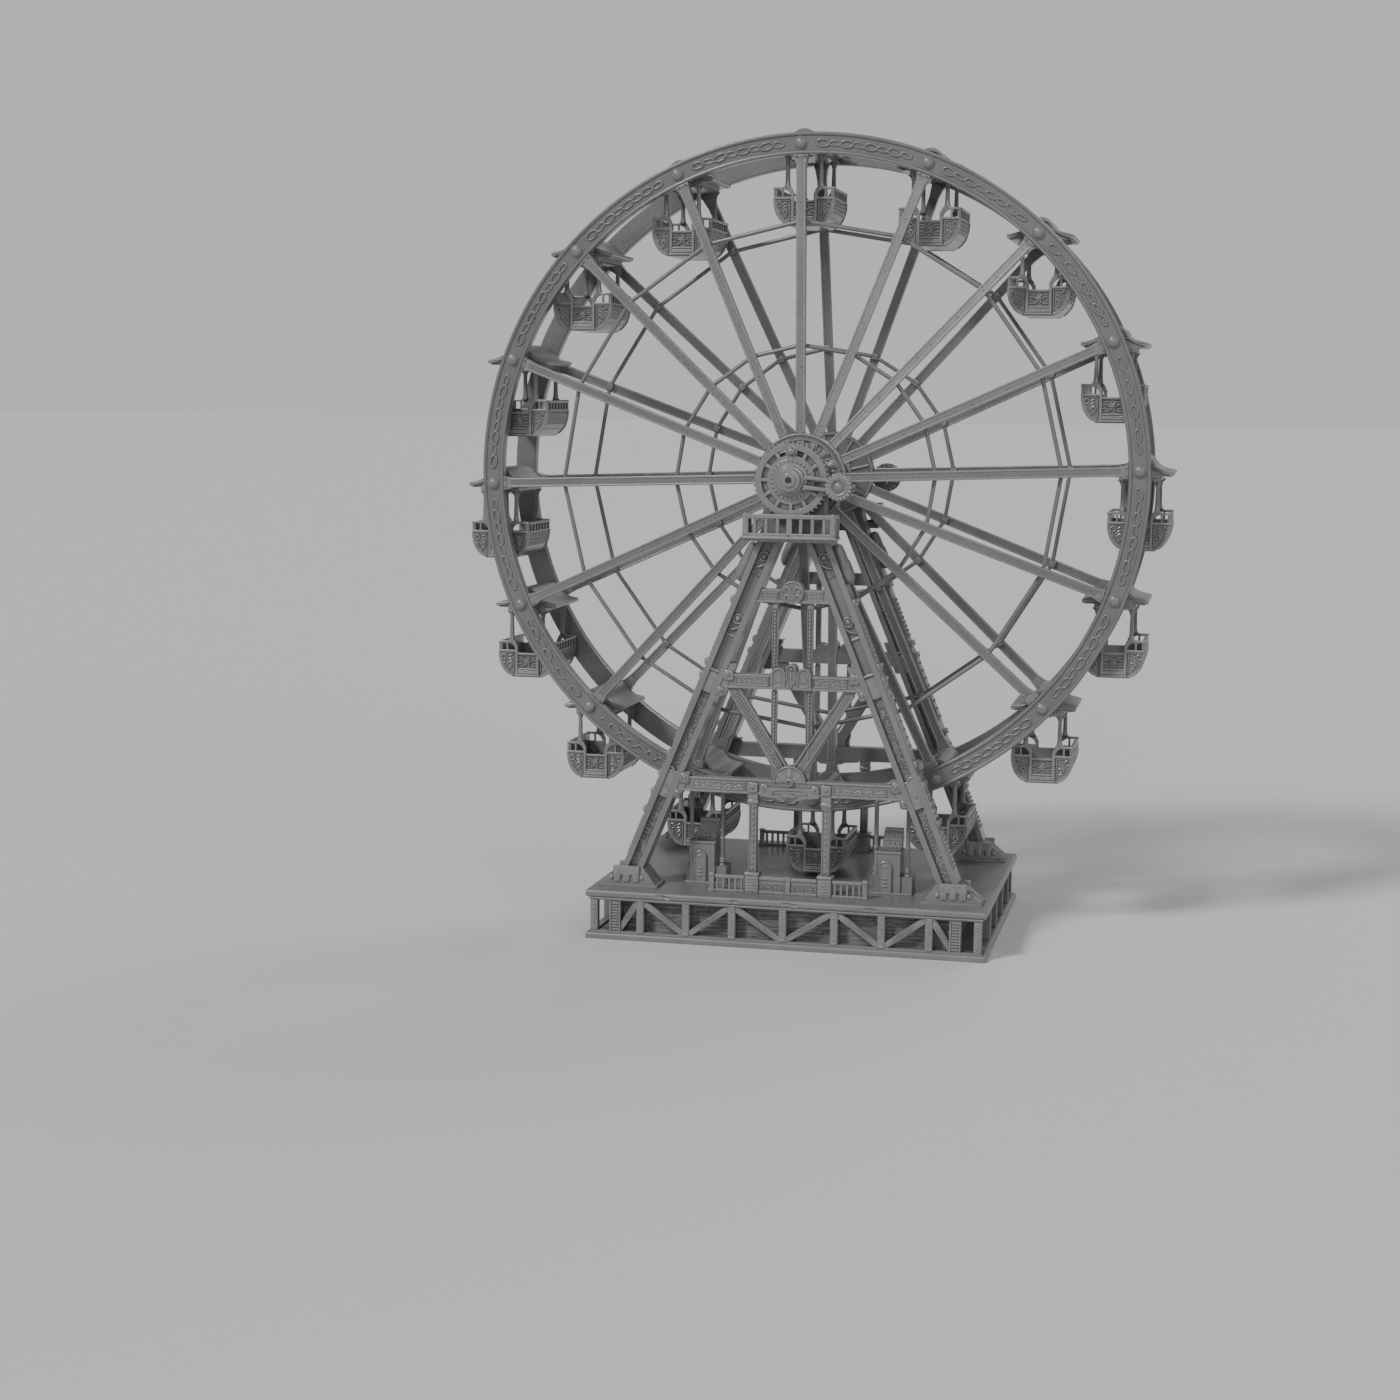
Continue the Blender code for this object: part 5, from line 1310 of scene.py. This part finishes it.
def add_trim(form):
    """Scalloped trim under the canopy's frame, the ball over it and the roll along the gable."""
    top = FLOOR + 1.83
    form.block((-0.50, 0.50), (-1.078, -1.03), (FLOOR + 1.80, FLOOR + 1.93), 0.012)
    for index, x in enumerate(stops(-0.45, 0.45, 11)):
        low = FLOOR + (1.735 if index % 2 else 1.76)
        tongue = [(x + 0.040, low + 0.035), (x + 0.022, low + 0.008), (x, low), (x - 0.022, low + 0.008),
                  (x - 0.040, low + 0.035)]
        form.prism([(x - 0.043, top), (x + 0.043, top), *tongue], -1.04, -1.082, 0.010)
        form.bead(x, -1.078, FLOOR + 1.875, 0.022)
    form.dome(0.0, 0.02, -1.145, 0.058, 0.065, 16, lip=0.012)
    roll = [(0.80, -0.03), (0.50, 0.01), (0.33, 0.10), (0.18, 0.13)]
    form.trace([(-x, z) for x, z in roll] + [(0.0, 0.14)] + roll[::-1], -1.115, 0.022)


def add_tub_end(form):
    """The tub's front end, built in the frame that the form holds."""
    y = TUB_END_Y
    z = FLOOR
    lower = [(0.40, -0.01), (0.55, 0.09), (0.69, 0.235), (0.765, 0.40), (0.80, 0.56), (0.80, 0.70),
             (0.27, 0.70), (0.27, 0.62)]
    wall = lower + [(-x, h) for x, h in lower[::-1]]
    form.prism([(x, z + h) for x, h in wall], y + 0.075, y + 0.045, 0.004)
    for mirror in SIDES:
        add_end_bars(form, mirror)
        add_quarter_panel(form, mirror)
        add_post(form, mirror * 0.44)
    add_gate(form)
    add_trim(form)


def add_canopy(form):
    """Frame, gable infill and a curved sheet with rolled eaves."""
    form.block((-0.54, 0.54), (-1.06, 1.06), (FLOOR + 1.785, -0.09), 0.02)
    top = [(0.0, 0.43), (0.10, 0.42), (0.19, 0.385), (0.26, 0.33), (0.31, 0.26), (0.36, 0.19), (0.43, 0.125),
           (0.52, 0.075), (0.64, 0.035), (0.76, 0.01), (0.83, -0.005)]
    full = [(-x, h) for x, h in top[:0:-1]] + top
    below = [(x * 0.955, h - 0.085) for x, h in full[1:-1]]
    lip = [(0.848, -0.025), (0.852, -0.055), (0.845, -0.088), (0.825, -0.108), (0.79, -0.110)]
    sheet = full + lip + below[::-1] + [(-x, h) for x, h in lip[::-1]]
    form.loft([[(x * (1.0 - shrink), y, h - shrink * 0.5) for x, h in sheet]
               for y, shrink in ((-1.12, 0.012), (-1.105, 0.0), (1.105, 0.0), (1.12, 0.012))])
    gable = [(-0.78, -0.11), *[(x * 0.93, h - 0.05) for x, h in full], (0.78, -0.11)]
    form.loft([[(x, y, h) for x, h in gable] for y in (-1.05, 1.05)])
    for sign in SIDES:
        form.block(on_side(sign, 0.30, 0.78), (-1.06, 1.06), (-0.135, -0.095), 0.012)
        for y in stops(-0.90, 0.90, 13):
            form.bead(sign * 0.545, y, FLOOR + 1.785, 0.032)


def make_gondolas():
    form = Form()
    for sign in SIDES:
        add_tub_side(form, sign)
    add_floor_boards(form)
    for place in (HOME, HALF_TURN):
        form.place = place
        add_tub_end(form)
    form.place = HOME
    add_canopy(form)
    # rod through the rims, with domed caps
    form.lathe([(0.055, -1.64), (0.055, 1.64)], 16)
    for sign in SIDES:
        form.dome(0.0, 0.0, sign * 1.617, 0.185, 0.115, 24, toward=sign, lip=0.016)
    mesh = mesh_of(form, "gondola_built")
    for index, turn in enumerate(GONDOLA_TURNS):
        x, z = polar(PIVOT_R, turn, HUB)
        name = "gondola_%02d" % (index + 1)
        settle(name + "_built", mesh, name, "cabin_paint", [name], (x, 0.0, z))


# Cabinets

def make_cabinet_ornament(name, centre, front):
    form = Form()
    base = DECK_TOP
    left = centre - 0.54
    right = centre + 0.54
    face = front - 0.06
    door = left + 0.39
    arch = [(door - 0.15, base + 0.05), *arc(door, base + 0.70, 0.15, 180, 0, 12), (door + 0.15, base + 0.05)]
    form.trace(arch, face - 0.052, 0.022)
    form.trace(arc(door, base + 0.68, 0.06, 200, -20, 8), face - 0.052, 0.016)
    for height in (0.20, 0.30, 0.40):
        form.block(around(door, 0.07), (face - 0.075, face - 0.04), around(base + height, 0.02), 0.012)
    form.block((left + 0.07, right - 0.27), (face - 0.03, face + 0.02), (base + 1.05, base + 1.11), 0.02)
    form.block((left - 0.02, right + 0.02), (face - 0.10, face + 0.72), (base, base + 0.04), 0.012)
    for x in (left + 0.14, right - 0.34):
        form.block(around(x, 0.03), around(face, 0.02), (base + 0.48, base + 1.04), 0.012)

    def slope(height):
        """Left and right ends and front of the sloping top at a height over the deck."""
        share = (height - 1.0) / 0.66
        return left + 0.22 + 0.08 * share, right - 0.34 + 0.04 * share, front + 0.22 + 0.14 * share

    for height, half, count, proud in ((1.15, 0.050, 9, 0.030), (1.56, 0.040, 9, 0.018),
                                       (1.44, 0.045, 6, 0.010)):
        start, end, y = slope(height)
        for x in cells(start, end, count):
            form.block(around(x, 0.019), (y - proud, y + 0.04), around(base + height, half), 0.010)
    start, end, y = slope(1.36)
    form.block((start - 0.005, end + 0.005), (y - 0.022, y + 0.04), (base + 1.345, base + 1.372), 0.010)
    start, end, y = slope(1.27)
    for x in cells(start, end, 4):
        form.bead(x, y - 0.008, base + 1.275, 0.034)
    for x in (left + 0.10, right - 0.14):
        # collars on the pole
        for height, radius in ((0.46, 0.10), (0.56, 0.085), (0.62, 0.085), (1.18, 0.08)):
            form.loft([[(*polar(radius * scale, turn, (x, front + 0.15)), base + height + rise)
                        for turn in turns(12, 0.0)] for scale, rise in ((1.0, 0.0), (0.85, 0.05))])
    make_piece(form, name + "_ornament", "root", "structure_paint")


# Stage

def make_floor():
    size = 1500.0
    mesh = bpy.data.meshes.new("floor")
    corners = [(-size, -size, 0.0), (size, -size, 0.0), (size, size, 0.0), (-size, size, 0.0)]
    mesh.from_pydata(corners, [], [(0, 1, 2, 3)])
    material = bpy.data.materials.new("floor_finish")
    material.use_nodes = True
    shader = material.node_tree.nodes["Principled BSDF"]
    shader.inputs["Base Color"].default_value = (0.62, 0.62, 0.61, 1.0)
    shader.inputs["Roughness"].default_value = 0.9
    mesh.materials.append(material)
    floor = add_object("floor", mesh)


def make_light():
    world = bpy.data.worlds.new("studio")
    world.use_nodes = True
    tree = world.node_tree
    seen = add_node(tree, "ShaderNodeLightPath", {}).outputs["Is Camera Ray"]
    level = add_node(tree, "ShaderNodeMapRange", {"Value": seen, "To Min": 0.36, "To Max": 0.72})
    background = tree.nodes["Background"]
    plug(tree, background.inputs["Color"], (0.80, 0.81, 0.82, 1.0))
    plug(tree, background.inputs["Strength"], level.outputs["Result"])
    bpy.context.scene.world = world
    for name, place, spread, power in (("key", (-20.0, -30.0, 30.0), 11.0, 2.3),
                                       ("fill", (34.0, -24.0, 16.0), 40.0, 0.45),
                                       ("front_light", (2.0, -30.0, 9.0), 14.0, 0.40),
                                       ("back_light", (16.0, 34.0, 30.0), 24.0, 0.80)):
        lamp = bpy.data.lights.new(name, "SUN")
        lamp.angle = math.radians(spread)
        lamp.energy = power
        item = add_object(name, lamp)
        item.location = place
        item.rotation_euler = (-Vector(place)).to_track_quat("-Z", "Y").to_euler()


def make_camera():
    """Camera at the photograph's place and angle, with its focal length in pixels of a 1400-pixel picture."""
    place = Vector((11.088, -62.659, 14.048))
    azimuth, tilt, roll, focal_px = 0.2235, 0.1265, 0.0116, 2365.0
    forward = Vector((-math.sin(azimuth) * math.cos(tilt), math.cos(azimuth) * math.cos(tilt),
                      -math.sin(tilt)))
    right = Vector((math.cos(azimuth), math.sin(azimuth), 0.0))
    up = right.cross(forward)
    across = right * math.cos(roll) + up * math.sin(roll)
    above = up * math.cos(roll) - right * math.sin(roll)
    data = bpy.data.cameras.new("camera")
    data.sensor_width = 36.0
    data.lens = data.sensor_width * focal_px / 1400.0
    data.clip_end = 4000.0
    camera = add_object("camera", data)
    axes = Matrix((across, above, -forward)).transposed().to_4x4()
    camera.matrix_world = Matrix.Translation(place) @ axes
    bpy.context.scene.camera = camera


make_camera()
make_floor()
make_light()
for width, node_names in ROUNDED:
    for node_name in node_names:
        refine(node_name, width)
make_planks()
make_slabs()
make_base_ornament()
make_leg_ornament()
make_bracing_ornament()
make_railing()
make_drive_gears()
make_pinions()
make_pinion_crown()
make_gear_arms()
make_axle()
make_hub_flanges()
make_head_ornament()
make_balconies()
make_motor()
make_rims()
make_rim_chains()
make_spoke_ornament()
make_brace_rings()
make_gondolas()
make_cabinet_ornament("left_cabinet", -2.40, -2.32)
make_cabinet_ornament("right_cabinet", 2.57, -2.42)
